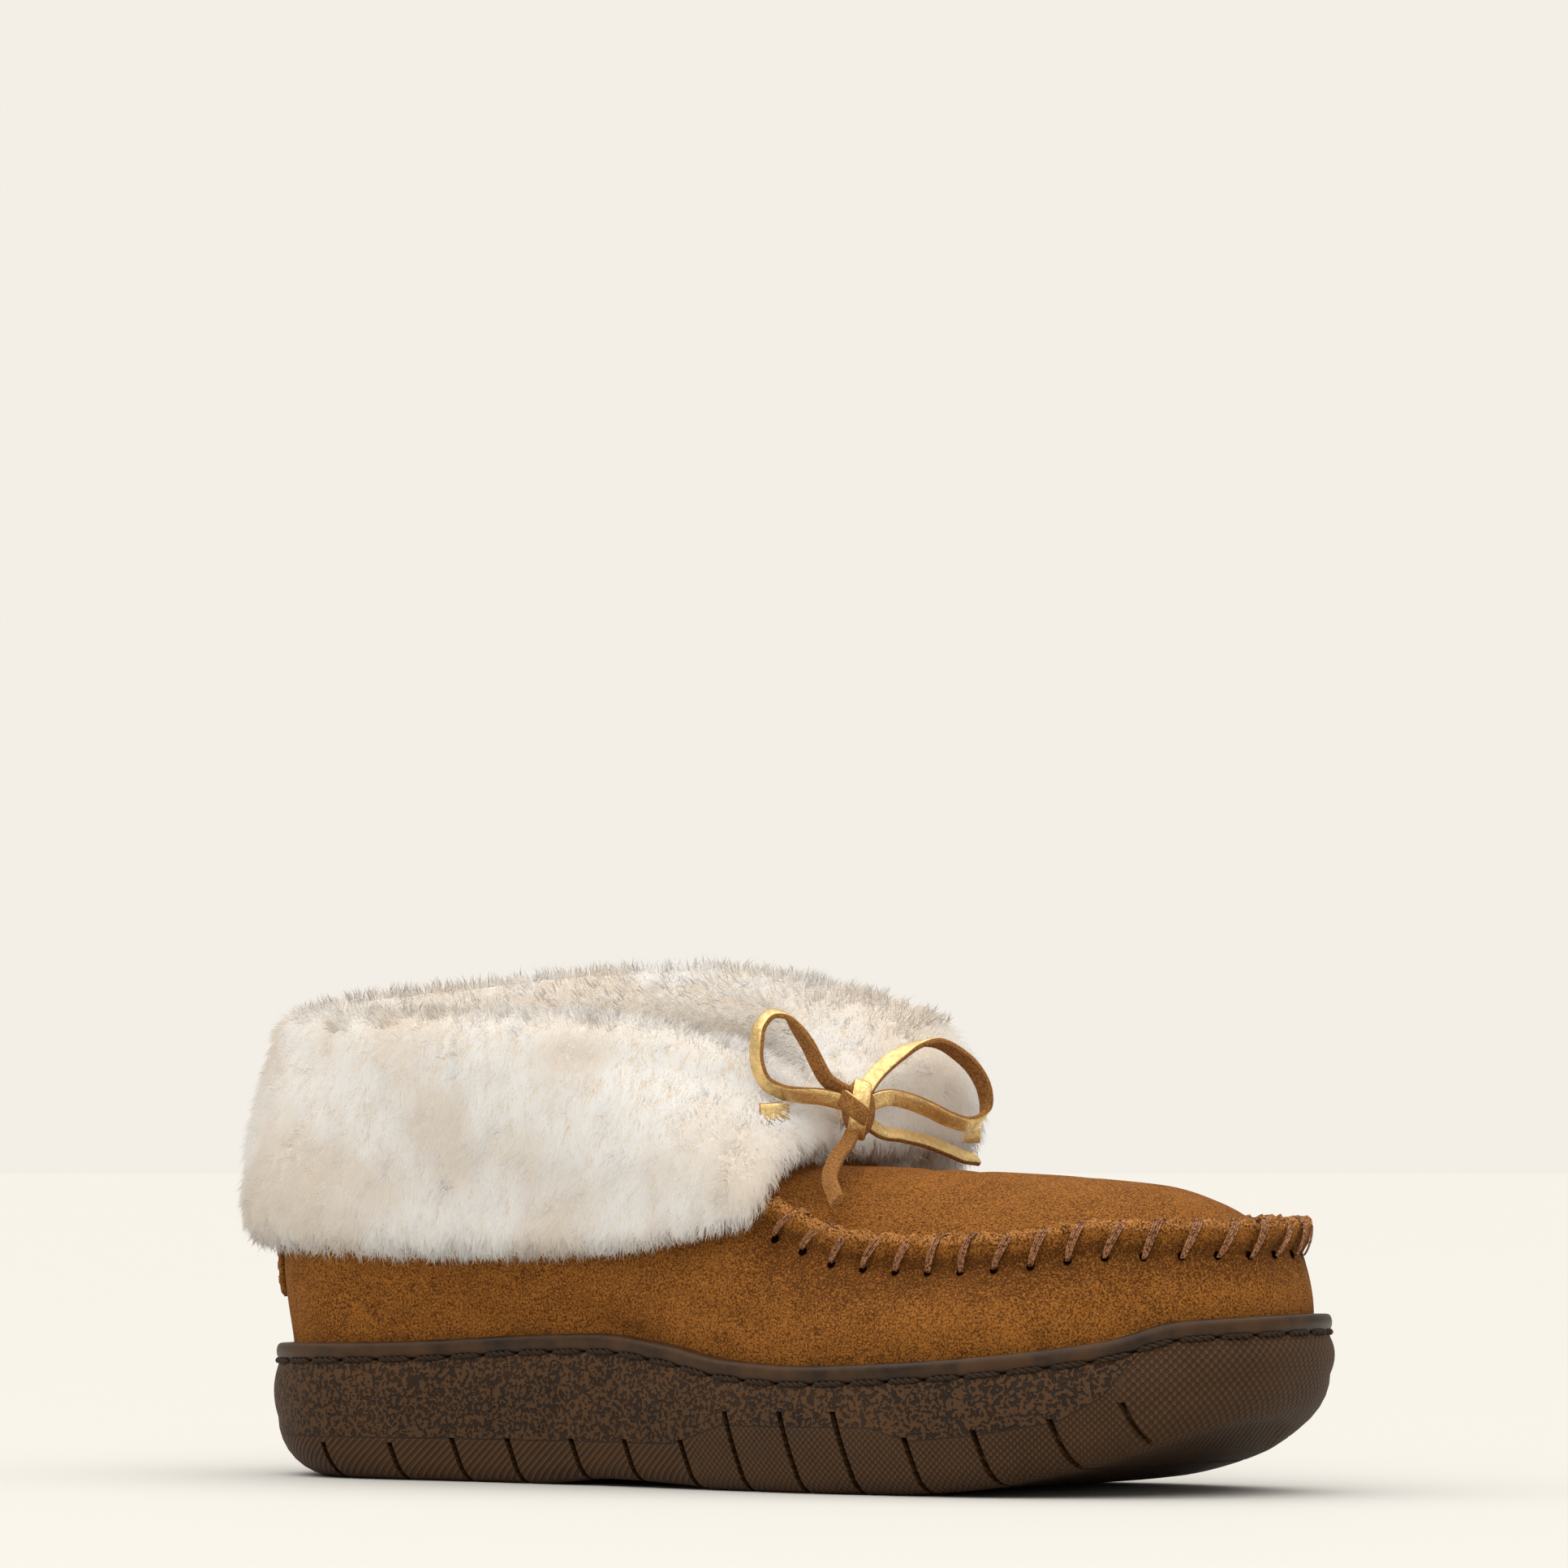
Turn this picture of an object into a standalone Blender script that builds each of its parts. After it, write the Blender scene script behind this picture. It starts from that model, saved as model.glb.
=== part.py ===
"""A moccasin slipper boot for the right foot, in metres.

+X runs to the toe, +Y to the inner side of the foot and +Z up. The origin is on the floor under the
heel seat. Every piece is worked out from one ring of stations round the sole: station 0 is the back of
the heel, the numbers rise along the outer side to the toe tip and come back along the inner side.
"""

import math
import random

import bmesh
import bpy
import numpy as np
from mathutils import Matrix

MM = 0.001

# Fit that all pieces share
CLEARANCE = 0.3 * MM
SOFT_CLEARANCE = 1.0 * MM

# Last and sole
SOLE_LENGTH = 266 * MM
HEEL_TO_ORIGIN = 35 * MM
HEEL_WIDTH = 70 * MM
BALL_WIDTH = 99 * MM
HEEL_ROUND = 36 * MM
TOE_ROUND = 50 * MM
SOLE_HEIGHT = 28 * MM
CUP_FLOOR_HEIGHT = 12 * MM
RIM_WIDTH = 3.4 * MM
RIM_BEVEL = 1.0 * MM
SOLE_BULGE = 1.0 * MM
EDGE_ROUND = 12 * MM
TOE_SPRING = 16 * MM
ARCH_RAISE = 1.6 * MM
SIPE_WIDTH = 1.5 * MM
SIPE_DEPTH = 2.0 * MM
SIPE_REACH = 10 * MM
SIPE_LEAN = 0.32

# Welt
WELT_HEIGHT = 3.9 * MM
WELT_WIDTH = 3.2 * MM
WELT_PROUD = 0.4 * MM

# Upper
WALL = 2.2 * MM
LEATHER_SLACK = 1.4 * MM
SHOULDER_HEIGHT = 52 * MM
SHOULDER_INSET = 10 * MM
WALL_BULGE = 2.4 * MM
INSTEP_HEIGHT = 72 * MM
SEAM_HEIGHT = 6.2 * MM
SEAM_WIDTH = 3.6 * MM
SEAM_OVERHANG = 1.6 * MM
COLLAR_HEIGHT = 96 * MM
COLLAR_WIDTH = 62 * MM
COLLAR_BACK = -29.5 * MM
COLLAR_FRONT = 103 * MM
COLLAR_DIP = 11 * MM
THROAT_TURN = math.radians(46)

# Insole
INSOLE_THICK = 5 * MM
INSOLE_ROUND = 1.5 * MM

# Fleece cuff
CUFF_THICK = 12 * MM
CUFF_ABOVE_COLLAR = 10 * MM
CUFF_LOW_EDGE = 52.5 * MM
CUFF_LINING = 3.2 * MM
CUFF_SLIT = 3 * MM
LOCK_RISE = 2.6 * MM
LOCK_DROOP = 1.6 * MM

# Heel tab
TAB_WIDTH = 33 * MM
TAB_THICK = 1.5 * MM
TAB_LOW_EDGE = 41 * MM

# Lace
LACE_DIAMETER = 2.6 * MM
KNOT_WIDTH = 7.6 * MM
KNOT_HEIGHT = 13.0 * MM

# Counts
HEEL_STEPS = 6
SIDE_STEPS = 17
TOE_STEPS = 7
THROAT_STATION = 16
APRON_COLUMNS = 8


def table(columns, rows):
    """A table of sections as a column of numbers for each name."""
    return dict(zip(columns.split(), np.array(rows, float).T))


# Half widths as shares of the width there. Rows run from the heel to the toe.
OUTLINE = table("along outer inner", [
    (0.00, 0.500, 0.500),
    (0.13, 0.505, 0.500),
    (0.30, 0.486, 0.450),
    (0.42, 0.466, 0.375),
    (0.55, 0.478, 0.382),
    (0.66, 0.502, 0.444),
    (0.78, 0.498, 0.470),
    (0.88, 0.440, 0.450),
    (1.00, 0.395, 0.470),
])

# Underside as shares of the toe spring and the arch raise, edge rounding of EDGE_ROUND,
# top edge and cup floor of the sole's and the floor's height.
SOLE = table("along spring arch rounding top floor", [
    (0.00, 0.00, 0.0, 1.25, 0.93, 1.05),
    (0.10, 0.00, 0.0, 0.75, 0.96, 1.08),
    (0.20, 0.00, 0.0, 0.45, 0.99, 1.10),
    (0.33, 0.00, 0.0, 0.40, 1.06, 1.10),
    (0.40, 0.00, 1.0, 0.40, 1.08, 1.08),
    (0.48, 0.00, 0.6, 0.40, 1.00, 1.00),
    (0.54, 0.00, 0.0, 0.42, 0.90, 0.90),
    (0.62, 0.00, 0.0, 0.42, 0.86, 0.80),
    (0.70, 0.00, 0.0, 0.45, 0.89, 0.78),
    (0.80, 0.12, 0.0, 0.55, 0.96, 0.86),
    (0.90, 0.45, 0.0, 0.80, 1.09, 1.15),
    (0.95, 0.72, 0.0, 0.95, 1.24, 1.42),
    (1.00, 1.00, 0.0, 1.05, 1.28, 1.70),
])

# Side cuts of the tread: where each starts and how high it reaches, of the sole's height.
SIPES = table("along reach", [
    (0.111, 0.30),
    (0.179, 0.31),
    (0.245, 0.36),
    (0.306, 0.37),
    (0.372, 0.38),
    (0.433, 0.39),
    (0.497, 0.40),
    (0.549, 0.64),
    (0.606, 0.65),
    (0.664, 0.66),
    (0.733, 0.47),
    (0.796, 0.54),
    (0.858, 0.63),
    (0.914, 0.76),
])

# Top of the side wall, where the raised seam stands: height, inset on each side, and wall bulge.
SHOULDER = table("along height outer inner bulge", [
    (0.00, 1.15, 0.12, 0.12, 0.40),
    (0.10, 1.16, 0.15, 0.15, 0.60),
    (0.25, 1.17, 0.32, 0.30, 0.90),
    (0.40, 1.18, 0.62, 0.50, 1.00),
    (0.52, 1.19, 0.95, 0.70, 1.00),
    (0.58, 1.10, 1.10, 0.85, 1.00),
    (0.64, 1.00, 1.16, 0.95, 1.05),
    (0.72, 0.97, 1.18, 1.00, 1.10),
    (0.82, 0.99, 1.12, 1.00, 0.90),
    (0.90, 1.04, 0.92, 0.85, 0.45),
    (1.00, 1.04, 0.66, 0.66, 0.05),
])

# Height of the middle of the apron, of the instep height.
CROWN = table("along height", [
    (0.50, 1.005),
    (0.60, 1.000),
    (0.72, 0.985),
    (0.82, 0.968),
    (0.88, 0.950),
    (0.93, 0.905),
    (0.97, 0.840),
    (1.00, 0.775),
])

# Shaft rows between the shoulder and the collar: how far up, and how far the plan has moved.
SHAFT = table("up across", [
    (0.30, 0.22),
    (0.65, 0.62),
    (1.00, 1.00),
])

# Cuff, from the heel (0) round to the front slit (1) on each side: top over the collar's height,
# lower edge over the low edge's height, thickness, how far the front flares beyond the leaning
# shaft, and how far the underside climbs to the wall.
CUFF = table("around outer_top inner_top outer_low inner_low outer_thick inner_thick outer_flare inner_flare lift", [
    (0.00, 1.01, 1.03, 1.05, 1.05, 0.84, 0.84, 0.0, 0.00, 0.10),
    (0.25, 1.01, 1.07, 1.00, 1.02, 0.98, 1.02, 0.0, 0.00, 0.10),
    (0.45, 1.01, 1.11, 0.97, 1.02, 1.14, 1.16, 0.0, 0.00, 0.15),
    (0.60, 1.01, 1.12, 0.98, 1.06, 1.16, 1.20, 0.0, 0.20, 0.35),
    (0.74, 1.00, 1.11, 1.06, 1.20, 1.24, 1.45, 0.0, 0.50, 1.00),
    (0.81, 0.99, 1.09, 1.34, 1.36, 1.70, 2.30, 0.0, 0.75, 0.40),
    (0.90, 0.97, 1.02, 1.42, 1.42, 1.15, 1.75, 0.0, 0.60, 0.00),
    (1.00, 0.95, 0.95, 1.43, 1.43, 0.68, 0.68, 0.0, 0.00, 0.00),
])

# Section of the cuff's outer side from the lining over the top and down: share of the
# thickness, and share of the way from the lower edge to the top.
CUFF_SECTION = table("out up", [
    (-0.10, 0.965),
    (0.15, 1.000),
    (0.55, 0.965),
    (0.88, 0.820),
    (1.00, 0.560),
    (0.97, 0.290),
    (0.82, 0.080),
    (0.46, 0.000),
])

# Lace routes in millimetres, chosen by hand. The bow's runs start at the knot, and its loops end there.
LACE_ROUTES = {
    "lace_bar": [(116.4, -32.0, 84.6), (118.1, -25.0, 84.4), (118.6, -12.0, 84.0), (119.0, -3.0, 83.8),
                 (121.5, 4.0, 83.2), (125.6, 11.0, 82.0), (128.7, 18.0, 80.3), (130.3, 25.0, 79.3),
                 (130.6, 31.0, 79.0)],
    "bow_loop_outer": [(119.4, -17.5, 91.8), (118.0, -19.3, 95.5), (116.6, -20.5, 99.2),
                       (114.8, -22.3, 103.0), (113.2, -24.6, 106.0), (111.4, -27.9, 106.5),
                       (110.3, -30.9, 104.0), (110.2, -32.4, 99.5), (110.2, -32.0, 95.0),
                       (111.3, -30.6, 91.2), (113.9, -27.7, 89.0), (116.2, -23.4, 88.2), (118.8, -18.6, 87.8)],
    "bow_loop_inner": [(124.0, -4.0, 92.6), (124.4, -1.0, 94.6), (125.4, 3.0, 97.0), (127.0, 9.0, 99.5),
                       (129.0, 14.5, 100.0), (131.0, 20.5, 97.5), (133.0, 24.2, 94.0),
                       (134.5, 26.5, 89.0), (134.6, 26.8, 85.0), (134.2, 25.0, 82.5),
                       (133.3, 22.0, 81.5), (131.5, 16.5, 82.5), (129.6, 10.5, 84.8),
                       (128.0, 3.5, 86.8), (126.6, -2.5, 87.6)],
    "lace_end_outer": [(123.6, -15.8, 77.0), (123.6, -18.6, 75.2), (124.1, -21.8, 73.0),
                       (125.6, -26.0, 70.3), (128.0, -29.5, 68.2), (130.0, -31.5, 66.6)],
    "lace_end_inner": [(126.0, -5.0, 80.0), (127.4, 2.0, 79.0), (128.8, 11.0, 77.5), (130.3, 18.0, 75.5),
                       (131.2, 23.0, 74.0), (131.7, 27.0, 73.5)],
}
KNOT_PLACE = (124.0, -11.2, 85.0)


def read(sections, column, along):
    """One column at a place between the rows, on a smooth curve that never overshoots them."""
    first = next(iter(sections))
    x, y = sections[first], sections[column]
    rise = np.diff(y) / np.diff(x)
    slope = np.concatenate([[0.0], rise, [0.0]])
    before, after = slope[:-1], slope[1:]
    same = before * after > 0
    slope = np.where(same, 2 * before * after / np.where(same, before + after, 1.0), 0.0)
    slope[0], slope[-1] = rise[0], rise[-1]
    k = int(np.clip(np.searchsorted(x, along, side="right") - 1, 0, len(x) - 2))
    step = x[k + 1] - x[k]
    t = float(np.clip((along - x[k]) / step, 0.0, 1.0))
    return (
        y[k] * (1 + 2 * t) * (1 - t) ** 2
        + slope[k] * step * t * (1 - t) ** 2
        + y[k + 1] * t * t * (3 - 2 * t)
        + slope[k + 1] * step * t * t * (t - 1)
    )


def mix(a, b, share):
    return a + (b - a) * share


def unit(vectors):
    return vectors / np.linalg.norm(vectors, axis=-1, keepdims=True)


class Last:
    """The ring of stations that all sections are read at."""

    def __init__(self):
        heel = [HEEL_ROUND * (1 - math.cos(math.pi / 2 * k / HEEL_STEPS)) for k in range(HEEL_STEPS)]
        side_end = SOLE_LENGTH - TOE_ROUND
        side = list(np.linspace(HEEL_ROUND, side_end, SIDE_STEPS + 1))
        toe = [
            side_end + TOE_ROUND * math.sin(math.pi / 2 * k / TOE_STEPS)
            for k in range(1, TOE_STEPS + 1)
        ]
        distance = heel + side + toe
        self.tip = len(distance) - 1
        self.count = 2 * self.tip
        order = list(range(self.tip + 1)) + list(range(self.tip - 1, 0, -1))
        self.along = np.array([distance[k] / SOLE_LENGTH for k in order])
        self.side = np.array([0.0] + [-1.0] * (self.tip - 1) + [0.0] + [1.0] * (self.tip - 1))
        self.plan = np.array([self.outline(a, s) for a, s in zip(self.along, self.side)])
        ahead, behind = np.roll(self.plan, -1, 0), np.roll(self.plan, 1, 0)
        run = ahead - behind
        self.normal = unit(np.stack([run[:, 1], -run[:, 0]], 1))

    @staticmethod
    def width(along):
        """The width that the half widths are shares of: heel width, growing to ball width."""
        t = float(np.clip((along - 0.2) / 0.42, 0.0, 1.0))
        return mix(HEEL_WIDTH, BALL_WIDTH, t * t * (3 - 2 * t))

    def outline(self, along, side):
        outer = read(OUTLINE, "outer", along) * self.width(along)
        inner = read(OUTLINE, "inner", along) * self.width(along)
        from_heel, from_toe = along * SOLE_LENGTH, (1 - along) * SOLE_LENGTH
        end = 1.0
        if from_heel < HEEL_ROUND:
            end = math.sqrt(max(0.0, 1 - (1 - from_heel / HEEL_ROUND) ** 2))
        if from_toe < TOE_ROUND:
            end = max(0.0, 1 - (1 - from_toe / TOE_ROUND) ** 2.15) ** (1 / 2.15)
        middle, half = (inner - outer) / 2, (inner + outer) / 2
        return along * SOLE_LENGTH - HEEL_TO_ORIGIN, middle + side * half * end

    def column(self, sections, name):
        return np.array([read(sections, name, a) for a in self.along])

    def sided(self, sections, outer, inner):
        """Outer column on the outer side, inner on the inner side, and their mean at the tips."""
        a, b = self.column(sections, outer), self.column(sections, inner)
        return mix(a, b, (self.side + 1) / 2)

    def ring(self, inset, height):
        """Points inside the outline by the inset, at the height: numbers, or one for each station."""
        inset = np.broadcast_to(inset, self.count)
        height = np.broadcast_to(height, self.count)
        plan = self.plan - self.normal * inset[:, None]
        return np.column_stack([plan, height])


LAST = Last()


def sole_bottom():
    return TOE_SPRING * LAST.column(SOLE, "spring") + ARCH_RAISE * LAST.column(SOLE, "arch")


def sole_top():
    return SOLE_HEIGHT * LAST.column(SOLE, "top")


def cup_floor():
    return CUP_FLOOR_HEIGHT * LAST.column(SOLE, "floor")


def material(name, colour, roughness, metallic=0.0):
    made = bpy.data.materials.new(name)
    made.use_nodes = True
    shader = made.node_tree.nodes["Principled BSDF"]
    shader.inputs["Base Color"].default_value = (*colour, 1.0)
    shader.inputs["Roughness"].default_value = roughness
    shader.inputs["Metallic"].default_value = metallic
    made.diffuse_color = (*colour, 1.0)
    return made


def add_object(name, mesh, collection, finish):
    made = bpy.data.objects.new(name, mesh)
    made.data.materials.clear()
    if finish:
        made.data.materials.append(finish)
    collection.objects.link(made)
    return made


def mesh_of(name, points, faces):
    """A mesh with its faces pointing outwards and no loose point."""
    made = bmesh.new()
    corners = [made.verts.new(p) for p in points]
    for face in faces:
        made.faces.new([corners[k] for k in face])
    bmesh.ops.recalc_face_normals(made, faces=made.faces)
    mesh = bpy.data.meshes.new(name)
    made.to_mesh(mesh)
    made.free()
    return mesh


def band(first, second, count, closed=True):
    """Quads between two rows of points that start at these indices."""
    steps = count if closed else count - 1
    return [
        (first + k, first + (k + 1) % count, second + (k + 1) % count, second + k)
        for k in range(steps)
    ]


def ladder(start):
    """Faces that close a ring of stations, from the outer side to the inner side."""
    n, tip = LAST.count, LAST.tip
    faces = [(start, start + 1, start + n - 1), (start + tip, start + tip + 1, start + tip - 1)]
    faces += [(start + k, start + k + 1, start + n - k - 1, start + n - k) for k in range(1, tip - 1)]
    return faces


def stacked(rings, capped=True, looped=False):
    """Points and faces of rings of stations joined one to the next."""
    n = LAST.count
    points = np.concatenate(rings)
    faces = []
    for k in range(len(rings) - 1):
        faces += band(k * n, (k + 1) * n, n)
    if looped:
        faces += band((len(rings) - 1) * n, 0, n)
    if capped:
        faces += ladder(0) + ladder((len(rings) - 1) * n)
    return points, faces


def apply_modifiers(made):
    """The object's mesh as its modifiers leave it, and no modifier."""
    bpy.context.view_layer.update()
    graph = bpy.context.evaluated_depsgraph_get()
    mesh = bpy.data.meshes.new_from_object(made.evaluated_get(graph))
    made.modifiers.clear()
    made.data = mesh
    return made


def sipe_cutter(name, collection):
    """U-shaped blades that cut the sides and the underside at each row of the tread."""
    points, faces = [], []
    for along, reach in zip(SIPES["along"], SIPES["reach"]):
        bottom = TOE_SPRING * read(SOLE, "spring", along) + ARCH_RAISE * read(SOLE, "arch", along)
        rounding = EDGE_ROUND * read(SOLE, "rounding", along)
        x, outer = LAST.outline(along, -1.0)
        inner = LAST.outline(along, 1.0)[1]
        top = SOLE_HEIGHT * reach
        away = SIPE_REACH
        flank = bottom + max(rounding, SIPE_DEPTH)
        blade = [
            (outer - away, top), (outer - away, bottom - away),
            (inner + away, bottom - away), (inner + away, top),
            (inner - SIPE_DEPTH, top), (inner - SIPE_DEPTH, flank),
            (inner - SIPE_DEPTH - rounding * 0.8, bottom + SIPE_DEPTH),
            (outer + SIPE_DEPTH + rounding * 0.8, bottom + SIPE_DEPTH),
            (outer + SIPE_DEPTH, flank), (outer + SIPE_DEPTH, top),
        ]
        start, n = len(points), len(blade)
        for half in (-0.5, 0.5):
            points += [(x + SIPE_LEAN * (top - z) + half * SIPE_WIDTH, y, z) for y, z in blade]
        faces += band(start, start + n, n)
        faces += [tuple(range(start, start + n)), tuple(range(start + n, start + 2 * n))]
    cutter = add_object(name, mesh_of(name, points, faces), collection, None)
    cutter.hide_render = True
    cutter.display_type = "WIRE"
    return cutter


def make_outsole(collection, cutters, finish):
    """Cup sole: rounded underside, bulged side, rim with a bevel under the welt, and the cup."""
    bottom, top, floor = sole_bottom(), sole_top(), cup_floor()
    rounding = EDGE_ROUND * LAST.column(SOLE, "rounding")
    rings = []
    for turn in np.radians((0, 30, 60, 90)):
        rings.append(LAST.ring(rounding * (1 - math.sin(turn)), bottom + rounding * (1 - math.cos(turn))))
    rings.append(LAST.ring(-SOLE_BULGE, mix(bottom + rounding, top, 0.45)))
    rings.append(LAST.ring(0.0, top - RIM_BEVEL))
    rings.append(LAST.ring(RIM_BEVEL, top))
    rings.append(LAST.ring(RIM_WIDTH, top))
    rings.append(LAST.ring(RIM_WIDTH + LEATHER_SLACK, floor))
    made = add_object("outsole", mesh_of("outsole", *stacked(rings)), collection, finish)
    cut = made.modifiers.new("tread", "BOOLEAN")
    cut.operation = "DIFFERENCE"
    cut.object = sipe_cutter("tread_cutter", cutters)
    return made


def make_welt(collection, finish):
    """Rounded band on the sole's rim, all the way round."""
    low = sole_top() + CLEARANCE
    section = [
        (RIM_BEVEL, 0.0), (-WELT_PROUD, 0.28), (-WELT_PROUD, 0.72), (RIM_BEVEL * 0.8, 1.0),
        (WELT_WIDTH, 1.0), (WELT_WIDTH, 0.0),
    ]
    rings = [LAST.ring(inset, low + WELT_HEIGHT * up) for inset, up in section]
    points, faces = stacked(rings, capped=False, looped=True)
    return add_object("welt", mesh_of("welt", points, faces), collection, finish)


def seam_weight():
    """1 at the stations that carry the raised seam, 0 from the throat corners back."""
    from_tip = np.abs(np.arange(LAST.count) - LAST.tip)
    return (from_tip < LAST.tip - THROAT_STATION).astype(float)


def wall_rows():
    """Rings of the side wall from the cup floor to the shoulder, then across the seam's root."""
    tuck = RIM_WIDTH + CLEARANCE
    floor, top = cup_floor() + CLEARANCE, sole_top()
    welt_top = top + CLEARANCE + WELT_HEIGHT
    height = SHOULDER_HEIGHT * LAST.column(SHOULDER, "height")
    inset = SHOULDER_INSET * LAST.sided(SHOULDER, "outer", "inner")
    rows = [
        LAST.ring(tuck + LEATHER_SLACK, floor),
        LAST.ring(tuck, top),
        LAST.ring(tuck, welt_top),
    ]
    for up in (0.3, 0.68):
        bulge = WALL_BULGE * LAST.column(SHOULDER, "bulge") * math.sin(math.pi * up) ** 0.8
        rows.append(LAST.ring(mix(tuck, inset, up ** 1.6) - bulge, mix(welt_top, height, up)))
    root = LAST.ring(inset, height)
    weight = seam_weight()[:, None]
    on_apron = LAST.ring(inset + SEAM_WIDTH, height + 0.2 * SEAM_HEIGHT)
    on_wall = LAST.ring(inset + 0.5 * MM, height + SEAM_WIDTH)
    crest = mix(on_wall, on_apron, weight)
    rows += [root, mix(root, crest, 1 / 3), mix(root, crest, 2 / 3), crest]
    return rows


def apron_row(crest, station):
    """Points across the apron from one outer station to its partner on the inner side."""
    a, b = crest[station], crest[LAST.count - station]
    middle = INSTEP_HEIGHT * read(CROWN, "height", LAST.along[station])
    row = []
    for k in range(1, APRON_COLUMNS):
        across = k / APRON_COLUMNS
        point = mix(a, b, across)
        arch = 1 - abs(2 * across - 1) ** 2.2
        point[2] += max(0.0, middle - mix(a, b, 0.5)[2]) * arch
        row.append(point)
    return row


def collar_turns():
    """Angle round the collar of each point of the throat loop: 0 is the front, outer side below 0."""
    heel_x, corner_x = LAST.plan[0][0], LAST.plan[THROAT_STATION][0]
    middle, reach = (COLLAR_BACK + COLLAR_FRONT) / 2, (COLLAR_FRONT - COLLAR_BACK) / 2
    turns = []
    for station in throat_stations():
        share = (LAST.plan[station][0] - heel_x) / (corner_x - heel_x)
        x = mix(COLLAR_BACK, middle + reach * math.cos(THROAT_TURN), share)
        turn = math.acos(float(np.clip((x - middle) / reach, -1, 1)))
        turns.append(turn if station > LAST.tip else -turn)
    for k in range(1, APRON_COLUMNS):
        turns.append(mix(-THROAT_TURN, THROAT_TURN, k / APRON_COLUMNS))
    return np.array(turns)


def throat_stations():
    """Stations behind the throat, from the inner corner round the heel to the outer corner."""
    n = LAST.count
    return [k % n for k in range(n - THROAT_STATION, n + THROAT_STATION + 1)]


def cuff_directions(turns):
    """Outward plan directions of the cuff: round the oval, and spread to the front at the lapels."""
    reach, half = (COLLAR_FRONT - COLLAR_BACK) / 2, COLLAR_WIDTH / 2
    oval = unit(np.stack([np.cos(turns) / reach, np.sin(turns) / half, np.zeros(len(turns))], 1))
    radial = np.stack([np.cos(turns), np.sin(turns), np.zeros(len(turns))], 1)
    at_side = np.clip((np.abs(turns) - 0.75 * THROAT_TURN) / THROAT_TURN, 0, 1)[:, None]
    return unit(mix(radial, oval, at_side))


def cuff_column(column, turns):
    """A column of the cuff's table at each angle, read on the side that the angle is on."""
    around = 1 - np.abs(turns) / math.pi
    outer = np.array([read(CUFF, "outer_" + column, a) for a in around])
    inner = np.array([read(CUFF, "inner_" + column, a) for a in around])
    side = np.clip(turns / math.radians(20), -1, 1)
    return mix(outer, inner, (side + 1) / 2)


def collar_ring(turns):
    """Top edge of the shaft: an oval that dips at the front and is higher on the inner side."""
    middle, reach = (COLLAR_BACK + COLLAR_FRONT) / 2, (COLLAR_FRONT - COLLAR_BACK) / 2
    height = COLLAR_HEIGHT * cuff_column("top", turns)
    height = height - COLLAR_DIP * np.clip(np.cos(turns), 0, 1) ** 4
    return np.column_stack([
        middle + reach * np.cos(turns),
        COLLAR_WIDTH / 2 * np.sin(turns),
        height,
    ])


def shaft_rows(crest, rear):
    """Base of the shaft and the rows above it, as loops round the throat."""
    base = np.array([crest[k] for k in throat_stations()] + rear)
    collar = collar_ring(collar_turns())
    rows = [base]
    for up, across in zip(SHAFT["up"], SHAFT["across"]):
        row = mix(base, collar, across)
        row[:, 2] = mix(base[:, 2], collar[:, 2], up)
        rows.append(row)
    return rows


def upper_surface():
    """Points and faces of the upper's outer surface, and the numbers of the seam's two crest rows."""
    n, tip, corner = LAST.count, LAST.tip, THROAT_STATION
    rows = wall_rows()
    points = [p for row in rows for p in row]
    faces = []
    for k in range(len(rows) - 1):
        faces += band(k * n, (k + 1) * n, n)
    crest_start = (len(rows) - 1) * n
    crest = rows[-1]
    apron = {}
    for station in range(corner, tip):
        row = apron_row(crest, station)
        inside = list(range(len(points), len(points) + len(row)))
        apron[station] = [crest_start + station] + inside + [crest_start + n - station]
        points += row
    for station in range(corner, tip - 1):
        a, b = apron[station], apron[station + 1]
        faces += [(a[k], b[k], b[k + 1], a[k + 1]) for k in range(APRON_COLUMNS)]
    last, toe = apron[tip - 1], crest_start + tip
    faces += [(last[k], toe, last[k + 1]) for k in range(APRON_COLUMNS)]
    rear = [points[k] for k in apron[corner][1:-1]]
    shaft = shaft_rows(crest, rear)
    below = [crest_start + k for k in throat_stations()] + apron[corner][1:-1]
    for row in shaft[1:]:
        above = list(range(len(points), len(points) + len(row)))
        points += list(row)
        count = len(row)
        faces += [
            (below[k], below[(k + 1) % count], above[(k + 1) % count], above[k])
            for k in range(count)
        ]
        below = above
    return points, faces, (len(rows) - 3) * n, (len(rows) - 2) * n


def make_upper(collection, finish):
    """Hollow leather upper: one wall, open at the collar and underneath, with its raised seam."""
    points, faces, low_crest, high_crest = upper_surface()
    made = add_object("upper", mesh_of("upper", points, faces), collection, finish)
    wall = made.modifiers.new("wall", "SOLIDIFY")
    wall.thickness = WALL
    wall.offset = -1
    apply_modifiers(made)
    weight = seam_weight()
    for k in range(LAST.count):
        out = LAST.normal[k]
        for start, overhang in ((low_crest, SEAM_OVERHANG + SEAM_WIDTH / 3), (high_crest, SEAM_WIDTH / 6)):
            place = made.data.vertices[start + k].co
            place.x += out[0] * overhang * weight[k]
            place.y += out[1] * overhang * weight[k]
            place.z += SEAM_HEIGHT * 0.93 * weight[k]
    return made


def make_insole(collection, finish):
    """Fleece footbed on the cup's floor, inside the upper."""
    low = cup_floor() + CLEARANCE
    edge = RIM_WIDTH + 2 * CLEARANCE + LEATHER_SLACK + WALL + CLEARANCE
    rings = [
        LAST.ring(edge, low),
        LAST.ring(edge, low + INSOLE_THICK - INSOLE_ROUND),
        LAST.ring(edge + INSOLE_ROUND, low + INSOLE_THICK),
    ]
    return add_object("insole", mesh_of("insole", *stacked(rings)), collection, finish)


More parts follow.
